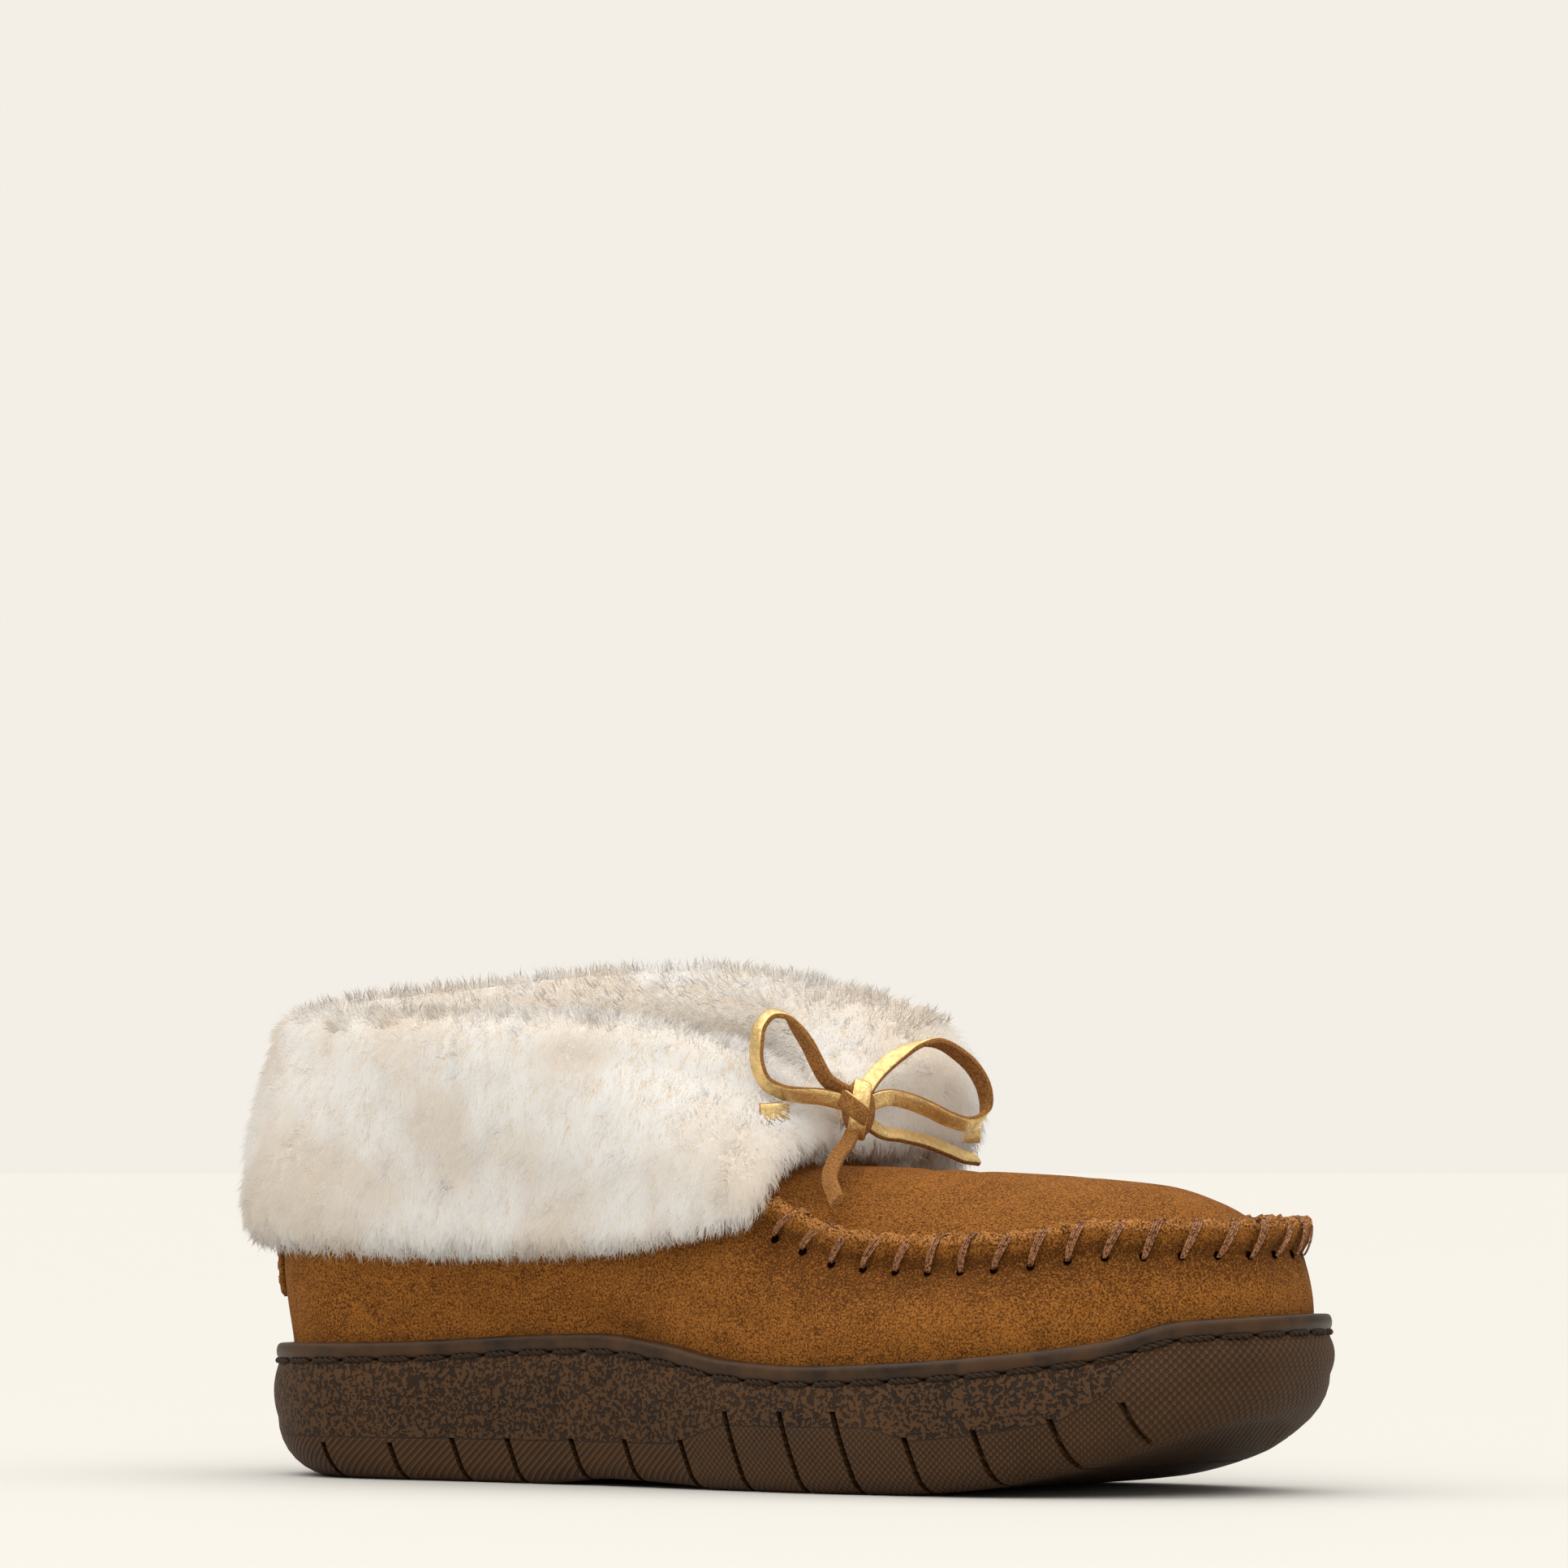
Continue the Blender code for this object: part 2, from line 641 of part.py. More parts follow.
def wall_point(line, height):
    """Where a meridian of the upper, from low to high, passes a height."""
    for a, b in zip(line[:-1], line[1:]):
        if a[2] <= height <= b[2]:
            return mix(a, b, (height - a[2]) / (b[2] - a[2]))
    return line[0] if height < line[0][2] else line[-1]


def meridians():
    """Lines up the outside of the upper at each point of the throat loop, and the shaft's own rows."""
    rows = wall_rows()
    shaft = shaft_rows(rows[-1], apron_row(rows[-1], THROAT_STATION))
    lines = []
    for k, station in enumerate(throat_stations()):
        lines.append([row[station] for row in rows[2:6]] + [row[k] for row in shaft])
    for k in range(len(lines), len(shaft[0])):
        lines.append([row[k] for row in shaft])
    return lines, shaft


def shaft_normals(shaft):
    """Outward directions of the shaft's wall at each of its points."""
    rows = np.array(shaft)
    around = np.roll(rows, -1, 1) - np.roll(rows, 1, 1)
    up = np.gradient(rows, axis=0)
    return unit(np.cross(around, up))


def cuff_sections():
    """Closed sections of the cuff, from the slit round the inner side, heel and outer side to the slit."""
    turns = collar_turns()
    lines, shaft = meridians()
    wall = shaft_normals(shaft)
    count = len(turns)
    front = int(np.argmin(np.abs(turns)))
    plan = cuff_directions(turns)
    dip = COLLAR_DIP * np.clip(np.cos(turns), 0, 1) ** 4
    top = COLLAR_HEIGHT * cuff_column("top", turns) + CUFF_ABOVE_COLLAR - dip
    low = CUFF_LOW_EDGE * cuff_column("low", turns)
    thick = CUFF_THICK * cuff_column("thick", turns)
    flare = cuff_column("flare", turns)
    lift = CUFF_THICK * np.array([read(CUFF, "lift", 1 - abs(t) / math.pi) for t in turns])
    up = np.array([0.0, 0.0, 1.0])
    sections = []
    for k in [(front + step) % count for step in range(count + 1)]:
        line = lines[k]
        seat = low[k] + lift[k] * 0.9
        outside = []
        for out, rise in zip(CUFF_SECTION["out"], CUFF_SECTION["up"]):
            height = mix(low[k], top[k], rise) + lift[k] * max(0.0, 1 - out) * (1 - rise) ** 8
            wall_at = wall_point(line, min(height, line[-1][2]))
            upright = mix(wall_at, shaft[0][k], flare[k] * max(0.0, out))
            at = upright + plan[k] * thick[k] * out
            outside.append(np.array([at[0], at[1], height]))
        outer = [shaft[j][k] + wall[j][k] * SOFT_CLEARANCE for j in (1, 2, 3)]
        inner = [shaft[j][k] - wall[j][k] * (WALL + SOFT_CLEARANCE) for j in (3, 2)]
        liner = [shaft[j][k] - wall[j][k] * (WALL + SOFT_CLEARANCE + CUFF_LINING) for j in (2, 3)]
        low_wall = wall_point(line, seat) + plan[k] * SOFT_CLEARANCE
        mid_wall = wall_point(line, mix(seat, shaft[1][k][2], 0.5)) + plan[k] * SOFT_CLEARANCE
        rim = [outer[-1] + up * SOFT_CLEARANCE, inner[0] + up * SOFT_CLEARANCE * 1.5]
        sections.append(outside + [low_wall, mid_wall] + outer + rim + inner + liner)
    return sections


def make_cuff(collection, finish):
    """Fleece folded over the collar, split at the front, with its locks standing on the outside."""
    sections = cuff_sections()
    for end, inside in ((0, 1), (-1, -2)):
        beside = np.abs(np.array(sections[inside])[:, 1]).mean()
        share = CUFF_SLIT / 2 / beside
        sections[end] = [mix(a, b, share) for a, b in zip(sections[end], sections[inside])]
    size = len(sections[0])
    made = bmesh.new()
    corners = [[made.verts.new(p) for p in section] for section in sections]
    outer_faces = []
    for a, b in zip(corners[:-1], corners[1:]):
        for k in range(size):
            face = made.faces.new((a[k], b[k], b[(k + 1) % size], a[(k + 1) % size]))
            if k < len(CUFF_SECTION["out"]) - 2:
                outer_faces.append(face)
    made.faces.new(corners[0])
    made.faces.new(list(reversed(corners[-1])))
    bmesh.ops.recalc_face_normals(made, faces=made.faces)
    raised = bmesh.ops.poke(made, faces=outer_faces, offset=LOCK_RISE)
    picker = random.Random(5)
    for lock in raised["verts"]:
        lock.co.z -= LOCK_DROOP * picker.uniform(0.4, 1.0)
    mesh = bpy.data.meshes.new("cuff")
    made.to_mesh(mesh)
    made.free()
    return add_object("cuff", mesh, collection, finish)


def heel_columns():
    """Wall lines across the heel tab, at its edges and at each station between, with their directions."""
    rows = wall_rows()[2:6]
    edge = TAB_WIDTH / 2 / np.linalg.norm(rows[1][1] - rows[1][0])
    inside = list(range(-math.floor(edge), math.floor(edge) + 1))
    columns = []
    for across in [-edge] + inside + [edge]:
        k, share = math.floor(across), across - math.floor(across)
        line = [mix(row[k], row[k + 1], share) for row in rows]
        columns.append((line, unit(np.append(mix(LAST.normal[k], LAST.normal[k + 1], share), 0.0))))
    return columns


def make_heel_tab(collection, finish):
    """Leather patch up the back of the heel, cut from the wall's own lines."""
    high = CUFF_LOW_EDGE * CUFF["outer_low"][0] - 2 * SOFT_CLEARANCE
    sections = []
    for line, out in heel_columns():
        heights = [TAB_LOW_EDGE] + [p[2] for p in line if TAB_LOW_EDGE < p[2] < high] + [high]
        against = [wall_point(line, h) for h in heights]
        near = [p + out * CLEARANCE for p in against]
        far = [p + out * (CLEARANCE + TAB_THICK) for p in against]
        sections.append(near + far[::-1])
    size, count = len(sections[0]), len(sections)
    faces = [face for k in range(count - 1) for face in band(k * size, (k + 1) * size, size)]
    faces += [tuple(range(size)), tuple(range((count - 1) * size, count * size))]
    points = [p for section in sections for p in section]
    return add_object("heel_tab", mesh_of("heel_tab", points, faces), collection, finish)


def smooth_route(route, spacing):
    """Points along a smooth curve through the route's own points, about this far apart."""
    points = np.array(route) * MM
    run = np.concatenate([[0.0], np.cumsum(np.linalg.norm(np.diff(points, axis=0), axis=1))])
    slope = np.gradient(points, run, axis=0)
    places = np.linspace(0.0, run[-1], max(4, round(run[-1] / spacing)) + 1)
    out = []
    for place in places:
        k = int(np.clip(np.searchsorted(run, place, side="right") - 1, 0, len(run) - 2))
        step = run[k + 1] - run[k]
        t = (place - run[k]) / step
        out.append(
            points[k] * (1 + 2 * t) * (1 - t) ** 2
            + slope[k] * step * t * (1 - t) ** 2
            + points[k + 1] * t * t * (3 - 2 * t)
            + slope[k + 1] * step * t * t * (t - 1)
        )
    return out


def knot_seat(place):
    """Where a run that comes straight from a place meets the knot, in millimetres."""
    middle = np.array(KNOT_PLACE)
    radii = np.array([KNOT_WIDTH, KNOT_WIDTH, KNOT_HEIGHT]) / 2 / MM
    away = np.array(place) - middle
    low, high = 0.0, np.linalg.norm(away) * radii.max()
    for _ in range(50):
        share = (low + high) / 2
        if np.linalg.norm(radii * away / (share + radii ** 2)) > 1:
            low = share
        else:
            high = share
    nearest = radii ** 2 * away / (low + radii ** 2)
    return tuple(middle + nearest + unit(away - nearest) * CLEARANCE / MM)


def lace_route(name):
    """The points of a run, with its ends on the knot where it leaves or reaches it."""
    route = list(LACE_ROUTES[name])
    if name != "lace_bar":
        route.insert(0, knot_seat(route[0]))
    if name.startswith("bow_loop"):
        route.append(knot_seat(route[-1]))
    return route


def make_lace(name, collection, finish):
    """A run of the lace as a tube along its route."""
    curve = bpy.data.curves.new(name, "CURVE")
    curve.dimensions = "3D"
    curve.bevel_depth = LACE_DIAMETER / 2
    curve.bevel_resolution = 2
    curve.use_fill_caps = True
    route = smooth_route(lace_route(name), 2.2 * LACE_DIAMETER)
    spline = curve.splines.new("POLY")
    spline.points.add(len(route) - 1)
    for point, place in zip(spline.points, route):
        point.co = (*place, 1.0)
    return add_object(name, curve, collection, finish)


def make_knot(collection, finish):
    """The bow's knot as an egg standing on end."""
    bpy.ops.mesh.primitive_uv_sphere_add(segments=14, ring_count=8, radius=0.5)
    made = bpy.context.object
    made.name = made.data.name = "bow_knot"
    made.data.transform(Matrix.Diagonal((KNOT_WIDTH, KNOT_WIDTH, KNOT_HEIGHT, 1.0)))
    made.location = [place * MM for place in KNOT_PLACE]
    made.data.shade_smooth()
    made.data.materials.append(finish)
    for old in list(made.users_collection):
        old.objects.unlink(made)
    collection.objects.link(made)
    return made


def main():
    for old in list(bpy.data.objects):
        bpy.data.objects.remove(old)
    scene = bpy.context.scene
    parts = bpy.data.collections.new("moccasin_boot")
    cutters = bpy.data.collections.new("cutters")
    scene.collection.children.link(parts)
    scene.collection.children.link(cutters)
    rubber = material("brown_rubber", (0.035, 0.024, 0.018), 0.6)
    welt_rubber = material("welt_rubber", (0.03, 0.02, 0.016), 0.42)
    suede = material("suede", (0.28, 0.13, 0.035), 0.92)
    fleece = material("fleece", (0.86, 0.80, 0.70), 0.95)
    lace = material("gold_leather", (0.62, 0.42, 0.14), 0.42, 0.6)
    footbed = material("footbed_fleece", (0.83, 0.76, 0.65), 0.95)
    make_outsole(parts, cutters, rubber)
    make_welt(parts, welt_rubber)
    make_upper(parts, suede)
    make_insole(parts, footbed)
    make_cuff(parts, fleece)
    make_heel_tab(parts, suede)
    for name in LACE_ROUTES:
        make_lace(name, parts, lace)
    make_knot(parts, lace)


main()
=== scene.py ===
"""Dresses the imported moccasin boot: suede upper, puckered seam, fleece cuff, lace bow and rubber sole.

Lengths in the tables are shares of the named sizes, which are the same as in the boot's solids. Each
piece is worked out from one ring of stations round the sole, finer than the solids' own.
"""

import math

import bmesh
import bpy
import numpy as np
from bpy.props import FloatProperty, FloatVectorProperty, PointerProperty
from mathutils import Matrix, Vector


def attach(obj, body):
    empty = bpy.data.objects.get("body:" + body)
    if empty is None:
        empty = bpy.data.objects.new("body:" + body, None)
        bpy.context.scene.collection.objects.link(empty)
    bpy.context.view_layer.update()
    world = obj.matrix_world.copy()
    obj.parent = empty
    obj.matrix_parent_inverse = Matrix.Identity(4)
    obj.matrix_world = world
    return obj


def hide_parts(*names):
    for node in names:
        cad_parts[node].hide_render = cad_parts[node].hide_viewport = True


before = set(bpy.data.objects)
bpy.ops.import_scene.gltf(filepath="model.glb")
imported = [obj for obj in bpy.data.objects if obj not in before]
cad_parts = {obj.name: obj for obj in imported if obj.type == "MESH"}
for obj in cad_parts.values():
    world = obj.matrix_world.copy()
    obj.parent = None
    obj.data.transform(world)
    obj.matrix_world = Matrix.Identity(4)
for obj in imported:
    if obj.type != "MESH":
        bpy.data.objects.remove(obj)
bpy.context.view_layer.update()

bl_info = {
    "name": "Moccasin Boot",
    "version": (1, 0, 0),
    "blender": (4, 5, 0),
    "location": "3D View > Sidebar > Moccasin Boot",
    "description": "Makes the finished pieces of a fleece-cuffed moccasin boot round its solids",
    "category": "Object",
}

MM = 0.001

# Last and sole, as in the solids
CLEARANCE = 0.3 * MM
SOFT_CLEARANCE = 1.0 * MM
SOLE_LENGTH = 266 * MM
HEEL_TO_ORIGIN = 35 * MM
HEEL_WIDTH = 70 * MM
BALL_WIDTH = 99 * MM
HEEL_ROUND = 36 * MM
TOE_ROUND = 50 * MM
SOLE_HEIGHT = 28 * MM
CUP_FLOOR_HEIGHT = 12 * MM
RIM_WIDTH = 3.4 * MM
RIM_BEVEL = 1.0 * MM
SOLE_BULGE = 1.0 * MM
EDGE_ROUND = 12 * MM
TOE_SPRING = 16 * MM
ARCH_RAISE = 1.6 * MM
SIPE_WIDTH = 1.5 * MM
SIPE_DEPTH = 2.0 * MM
SIPE_REACH = 10 * MM
SIPE_LEAN = 0.32
WELT_HEIGHT = 3.9 * MM
WELT_WIDTH = 3.2 * MM
WELT_PROUD = 0.4 * MM

# Upper, as in the solids
WALL = 2.2 * MM
LEATHER_SLACK = 1.4 * MM
SHOULDER_HEIGHT = 52 * MM
SHOULDER_INSET = 10 * MM
WALL_BULGE = 2.4 * MM
INSTEP_HEIGHT = 72 * MM
SEAM_WIDTH = 3.6 * MM
COLLAR_HEIGHT = 96 * MM
COLLAR_WIDTH = 62 * MM
COLLAR_BACK = -29.5 * MM
COLLAR_FRONT = 103 * MM
COLLAR_MIDDLE = (COLLAR_BACK + COLLAR_FRONT) / 2
COLLAR_REACH = (COLLAR_FRONT - COLLAR_BACK) / 2
COLLAR_DIP = 11 * MM
THROAT_TURN = math.radians(46)
INSOLE_THICK = 5 * MM
CUFF_THICK = 12 * MM
CUFF_ABOVE_COLLAR = 10 * MM
CUFF_LOW_EDGE = 52.5 * MM
CUFF_LINING = 3.2 * MM
TAB_WIDTH = 33 * MM
TAB_THICK = 1.5 * MM
TAB_LOW_EDGE = 41 * MM

# Stations of the solids' ring, which a finer ring multiplies
HEEL_STEPS = 6
SIDE_STEPS = 17
TOE_STEPS = 7
THROAT_STATION = 16
APRON_COLUMNS = 8

# How many times finer than the solids' the rings are, and rows of the upper
FINENESS = 8
SEAM_FINENESS = 11
CUFF_FINENESS = 4
WALL_ROWS = 34
SHAFT_ROWS = 15

# Camera and light
CAMERA_TURN = math.radians(32)
CAMERA_RISE = math.radians(1.2)
CAMERA_DISTANCE = 2.5
CAMERA_AIM = Vector((0.100, 0.0, 0.050))
AIM_PIXEL = (979, 1556)
FRAME_PIXELS = 1932
SENSOR_WIDTH = 36.0
PIXELS_PER_MM = 5.42
LAMP_COLOUR = (1.0, 0.99, 0.965)
# Corners of the floor in metres: away from the camera and to the side.
FLOOR_CORNERS = ((5.5, -5), (5.5, 5), (-4, 5), (-4, -5))


def table(columns, rows):
    """A table of sections as a column of numbers for each name."""
    return dict(zip(columns.split(), np.array(rows, float).T))


OUTLINE = table("along outer inner", [
    (0.00, 0.500, 0.500), (0.13, 0.505, 0.500), (0.30, 0.486, 0.450),
    (0.42, 0.466, 0.375), (0.55, 0.478, 0.382), (0.66, 0.502, 0.444),
    (0.78, 0.498, 0.470), (0.88, 0.440, 0.450), (1.00, 0.395, 0.470),
])
SOLE = table("along spring arch rounding top floor", [
    (0.00, 0.00, 0.0, 1.25, 0.93, 1.05), (0.10, 0.00, 0.0, 0.75, 0.96, 1.08),
    (0.20, 0.00, 0.0, 0.45, 0.99, 1.10), (0.33, 0.00, 0.0, 0.40, 1.06, 1.10),
    (0.40, 0.00, 1.0, 0.40, 1.08, 1.08), (0.48, 0.00, 0.6, 0.40, 1.00, 1.00),
    (0.54, 0.00, 0.0, 0.42, 0.90, 0.90), (0.62, 0.00, 0.0, 0.42, 0.86, 0.80),
    (0.70, 0.00, 0.0, 0.45, 0.89, 0.78), (0.80, 0.12, 0.0, 0.55, 0.96, 0.86),
    (0.90, 0.45, 0.0, 0.80, 1.09, 1.15), (0.95, 0.72, 0.0, 0.95, 1.24, 1.42),
    (1.00, 1.00, 0.0, 1.05, 1.28, 1.70),
])
SIPES = table("along reach", [
    (0.111, 0.30), (0.179, 0.31), (0.245, 0.36), (0.306, 0.37), (0.372, 0.38),
    (0.433, 0.39), (0.497, 0.40), (0.549, 0.64), (0.606, 0.65), (0.664, 0.66),
    (0.733, 0.47), (0.796, 0.54), (0.858, 0.63), (0.914, 0.76),
])
SHOULDER = table("along height outer inner bulge", [
    (0.00, 1.15, 0.12, 0.12, 0.40), (0.10, 1.16, 0.15, 0.15, 0.60),
    (0.25, 1.17, 0.32, 0.30, 0.90), (0.40, 1.18, 0.62, 0.50, 1.00),
    (0.52, 1.19, 0.95, 0.70, 1.00), (0.58, 1.10, 1.10, 0.85, 1.00),
    (0.64, 1.00, 1.16, 0.95, 1.05), (0.72, 0.97, 1.18, 1.00, 1.10),
    (0.82, 0.99, 1.12, 1.00, 0.90), (0.90, 1.04, 0.92, 0.85, 0.45),
    (1.00, 1.04, 0.66, 0.66, 0.05),
])
CROWN = table("along height", [
    (0.50, 1.005), (0.60, 1.000), (0.72, 0.985), (0.82, 0.968),
    (0.88, 0.950), (0.93, 0.905), (0.97, 0.840), (1.00, 0.775),
])
SHAFT = table("up across", [(0.30, 0.22), (0.65, 0.62), (1.00, 1.00)])
CUFF = table("around outer_top inner_top outer_low inner_low outer_thick inner_thick outer_flare inner_flare lift", [
    (0.00, 1.01, 1.03, 1.05, 1.05, 0.84, 0.84, 0.0, 0.00, 0.10),
    (0.25, 1.01, 1.07, 1.00, 1.02, 0.98, 1.02, 0.0, 0.00, 0.10),
    (0.45, 1.01, 1.11, 0.97, 1.02, 1.14, 1.16, 0.0, 0.00, 0.15),
    (0.60, 1.01, 1.12, 0.98, 1.06, 1.16, 1.20, 0.0, 0.20, 0.35),
    (0.74, 1.00, 1.11, 1.06, 1.20, 1.24, 1.45, 0.0, 0.50, 1.00),
    (0.81, 0.99, 1.09, 1.34, 1.36, 1.70, 2.30, 0.0, 0.75, 0.40),
    (0.90, 0.97, 1.02, 1.42, 1.42, 1.15, 1.75, 0.0, 0.60, 0.00),
    (1.00, 0.95, 0.95, 1.43, 1.43, 0.68, 0.68, 0.0, 0.00, 0.00),
])
CUFF_SECTION = table("out up", [
    (-0.10, 0.965), (0.15, 1.000), (0.55, 0.965), (0.88, 0.820),
    (1.00, 0.560), (0.97, 0.290), (0.82, 0.080), (0.46, 0.000),
])

# Lace routes: x, y and z in millimetres, and where the gold face looks, in degrees from the viewer
# towards the right of the run's way. The bar runs inside the cuff and shows at its two holes.
LACE_ROUTES = {
    "bow_loop_outer": [
        (119.4, -17.5, 91.8, 140), (118.0, -19.3, 95.5, 140), (116.6, -20.5, 99.2, 135),
        (114.8, -22.3, 103.0, 120), (113.2, -24.6, 106.0, 88), (111.4, -27.9, 106.5, 66),
        (110.3, -30.9, 104.0, 54), (110.2, -32.4, 99.5, 50), (110.2, -32.0, 95.0, 50),
        (111.3, -30.6, 91.2, 50), (113.9, -27.7, 89.0, 42), (116.2, -23.4, 88.2, 28),
        (118.8, -18.6, 87.8, 18),
    ],
    "bow_loop_inner": [
        (124.0, -4.0, 92.6, -25), (124.4, -1.0, 94.6, -28), (125.4, 3.0, 97.0, -38),
        (127.0, 9.0, 99.5, -75), (129.0, 14.5, 100.0, -112), (131.0, 20.5, 97.5, -135),
        (133.0, 24.2, 94.0, -145), (134.5, 26.5, 89.0, -142), (134.6, 26.8, 85.0, -118),
        (134.2, 25.0, 82.5, -72), (133.3, 22.0, 81.5, -45), (131.5, 16.5, 82.5, -30),
        (129.6, 10.5, 84.8, -24), (128.0, 3.5, 86.8, -20), (126.6, -2.5, 87.6, -18),
    ],
    "lace_end_outer": [
        (123.6, -15.8, 77.0, -140), (123.6, -18.6, 75.2, -145), (124.1, -21.8, 73.0, -148),
        (125.6, -26.0, 70.3, -150), (128.0, -29.5, 68.2, -150), (130.0, -31.5, 66.6, -150),
        (131.6, -33.3, 65.4, -150), (132.8, -34.6, 64.6, -150),
    ],
    "lace_end_inner": [
        (126.0, -5.0, 80.0, -50), (127.4, 2.0, 79.0, -50), (128.8, 11.0, 77.5, -50),
        (130.3, 18.0, 75.5, -52), (131.2, 23.0, 74.0, -55), (131.7, 27.0, 73.5, -55),
    ],
    "lace_bar": [
        (112.2, -34.1, 84.5, 0), (115.2, -31.0, 84.6, 0), (115.2, -28.2, 84.6, 0),
        (112.4, -25.5, 84.4, 0), (110.5, -12.0, 84.0, 0),
        (110.5, -3.0, 83.8, 0), (113.0, 4.0, 83.2, 0), (117.0, 11.0, 82.0, 0),
        (121.0, 18.0, 80.3, 0), (125.0, 25.0, 79.3, 0), (130.0, 31.5, 79.0, 0),
    ],
}
KNOT_PLACE = (124.0, -11.2, 85.0)
KNOT_WIDTH = 7.6
KNOT_HEIGHT = 13.0


def on_curve(values, slope, k, step, t):
    """Values on smooth curves, a share t of the step that leads from row k to the next."""
    return (
        values[k] * (1 + 2 * t) * (1 - t) ** 2
        + slope[k] * step * t * (1 - t) ** 2
        + values[k + 1] * t * t * (3 - 2 * t)
        + slope[k + 1] * step * t * t * (t - 1)
    )


def read(sections, column, along):
    """One column at each place, on a smooth curve through the rows that never overshoots them."""
    first = next(iter(sections))
    x, y = sections[first], sections[column]
    rise = np.diff(y) / np.diff(x)
    slope = np.concatenate([[0.0], rise, [0.0]])
    before, after = slope[:-1], slope[1:]
    same = before * after > 0
    slope = np.where(same, 2 * before * after / np.where(same, before + after, 1.0), 0.0)
    slope[0], slope[-1] = rise[0], rise[-1]
    along = np.asarray(along, float)
    k = np.clip(np.searchsorted(x, along, side="right") - 1, 0, len(x) - 2)
    step = x[k + 1] - x[k]
    t = np.clip((along - x[k]) / step, 0.0, 1.0)
    return on_curve(y, slope, k, step, t)


def mix(a, b, share):
    return a + (b - a) * share


def unit(vectors):
    return vectors / np.maximum(np.linalg.norm(vectors, axis=-1, keepdims=True), 1e-12)


def smooth(value, low, high):
    """0 below low, 1 above high and an S curve between."""
    t = np.clip((value - low) / (high - low), 0.0, 1.0)
    return t * t * (3 - 2 * t)


def run_of(line):
    """Distance along a line of points to each of them."""
    return np.concatenate([[0.0], np.cumsum(np.linalg.norm(np.diff(line, axis=0), axis=1))])


def along_line(at, run, line):
    """Points of a line where its run, or any other number that grows along it, has these values."""
    return np.stack([np.interp(at, run, line[:, axis]) for axis in range(3)], 1)


class Last:
    """The ring of stations that all sections are read at, this many times finer than the solids'."""

    def __init__(self, fineness):
        side_end = SOLE_LENGTH - TOE_ROUND
        heel_turn = np.linspace(0, math.pi / 2, HEEL_STEPS * fineness + 1)[:-1]
        heel = HEEL_ROUND * (1 - np.cos(heel_turn))
        side = np.linspace(HEEL_ROUND, side_end, SIDE_STEPS * fineness + 1)
        toe = side_end + TOE_ROUND * np.sin(np.linspace(0, math.pi / 2, TOE_STEPS * fineness + 1)[1:])
        distance = np.concatenate([heel, side, toe])
        self.tip = len(distance) - 1
        self.count = 2 * self.tip
        self.corner = THROAT_STATION * fineness
        order = list(range(self.tip + 1)) + list(range(self.tip - 1, 0, -1))
        self.along = distance[order] / SOLE_LENGTH
        self.side = np.array([0.0] + [-1.0] * (self.tip - 1) + [0.0] + [1.0] * (self.tip - 1))
        self.plan = self.outline()
        run = np.roll(self.plan, -1, 0) - np.roll(self.plan, 1, 0)
        self.normal = unit(np.stack([run[:, 1], -run[:, 0]], 1))
        self.run = run_of(self.plan)

    def outline(self):
        t = np.clip((self.along - 0.2) / 0.42, 0.0, 1.0)
        width = mix(HEEL_WIDTH, BALL_WIDTH, t * t * (3 - 2 * t))
        outer = read(OUTLINE, "outer", self.along) * width
        inner = read(OUTLINE, "inner", self.along) * width
        from_heel, from_toe = self.along * SOLE_LENGTH, (1 - self.along) * SOLE_LENGTH
        heel = np.sqrt(np.clip(1 - np.clip(1 - from_heel / HEEL_ROUND, 0, 1) ** 2, 0, 1))
        toe = np.clip(1 - np.clip(1 - from_toe / TOE_ROUND, 0, 1) ** 2.15, 0, 1) ** (1 / 2.15)
        middle, half = (inner - outer) / 2, (inner + outer) / 2
        return np.stack([from_heel - HEEL_TO_ORIGIN, middle + self.side * half * heel * toe], 1)

    def column(self, sections, name):
        return read(sections, name, self.along)

    def sided(self, sections, outer, inner):
        """Outer column on the outer side, inner on the inner side, and their mean at the tips."""
        return mix(self.column(sections, outer), self.column(sections, inner), (self.side + 1) / 2)

    def ring(self, inset, height):
        """Points inside the outline by the inset, at the height: numbers, or one for each station."""
        inset = np.broadcast_to(inset, self.count)
        height = np.broadcast_to(height, self.count)
        return np.column_stack([self.plan - self.normal * inset[:, None], height])

    def throat(self):
        """Stations behind the throat, from the inner corner round the heel to the outer corner."""
        return np.arange(self.count - self.corner, self.count + self.corner + 1) % self.count


def sole_bottom(last):
    return TOE_SPRING * last.column(SOLE, "spring") + ARCH_RAISE * last.column(SOLE, "arch")


def sole_top(last):
    return SOLE_HEIGHT * last.column(SOLE, "top")


def cup_floor(last):
    return CUP_FLOOR_HEIGHT * last.column(SOLE, "floor")


def shoulder(last):
    """Inset and height of the seam's root, at the top of the side wall."""
    inset = SHOULDER_INSET * last.sided(SHOULDER, "outer", "inner")
    return inset, SHOULDER_HEIGHT * last.column(SHOULDER, "height")


def band(first, second, count, closed=True):
    """Quads between two rows of points that start at these indices."""
    k = np.arange(count if closed else count - 1)
    after = (k + 1) % count
    return np.stack([first + k, first + after, second + after, second + k], 1)


def sheet_faces(rows, columns, closed):
    return np.concatenate([band(k * columns, (k + 1) * columns, columns, closed) for k in range(rows - 1)])


def linear(colour):
    """A hex sRGB colour as linear red, green, blue and alpha."""
    parts = [int(colour[k:k + 2], 16) / 255 for k in (1, 3, 5)]
    return tuple(c / 12.92 if c <= 0.04045 else ((c + 0.055) / 1.055) ** 2.4 for c in parts) + (1.0,)


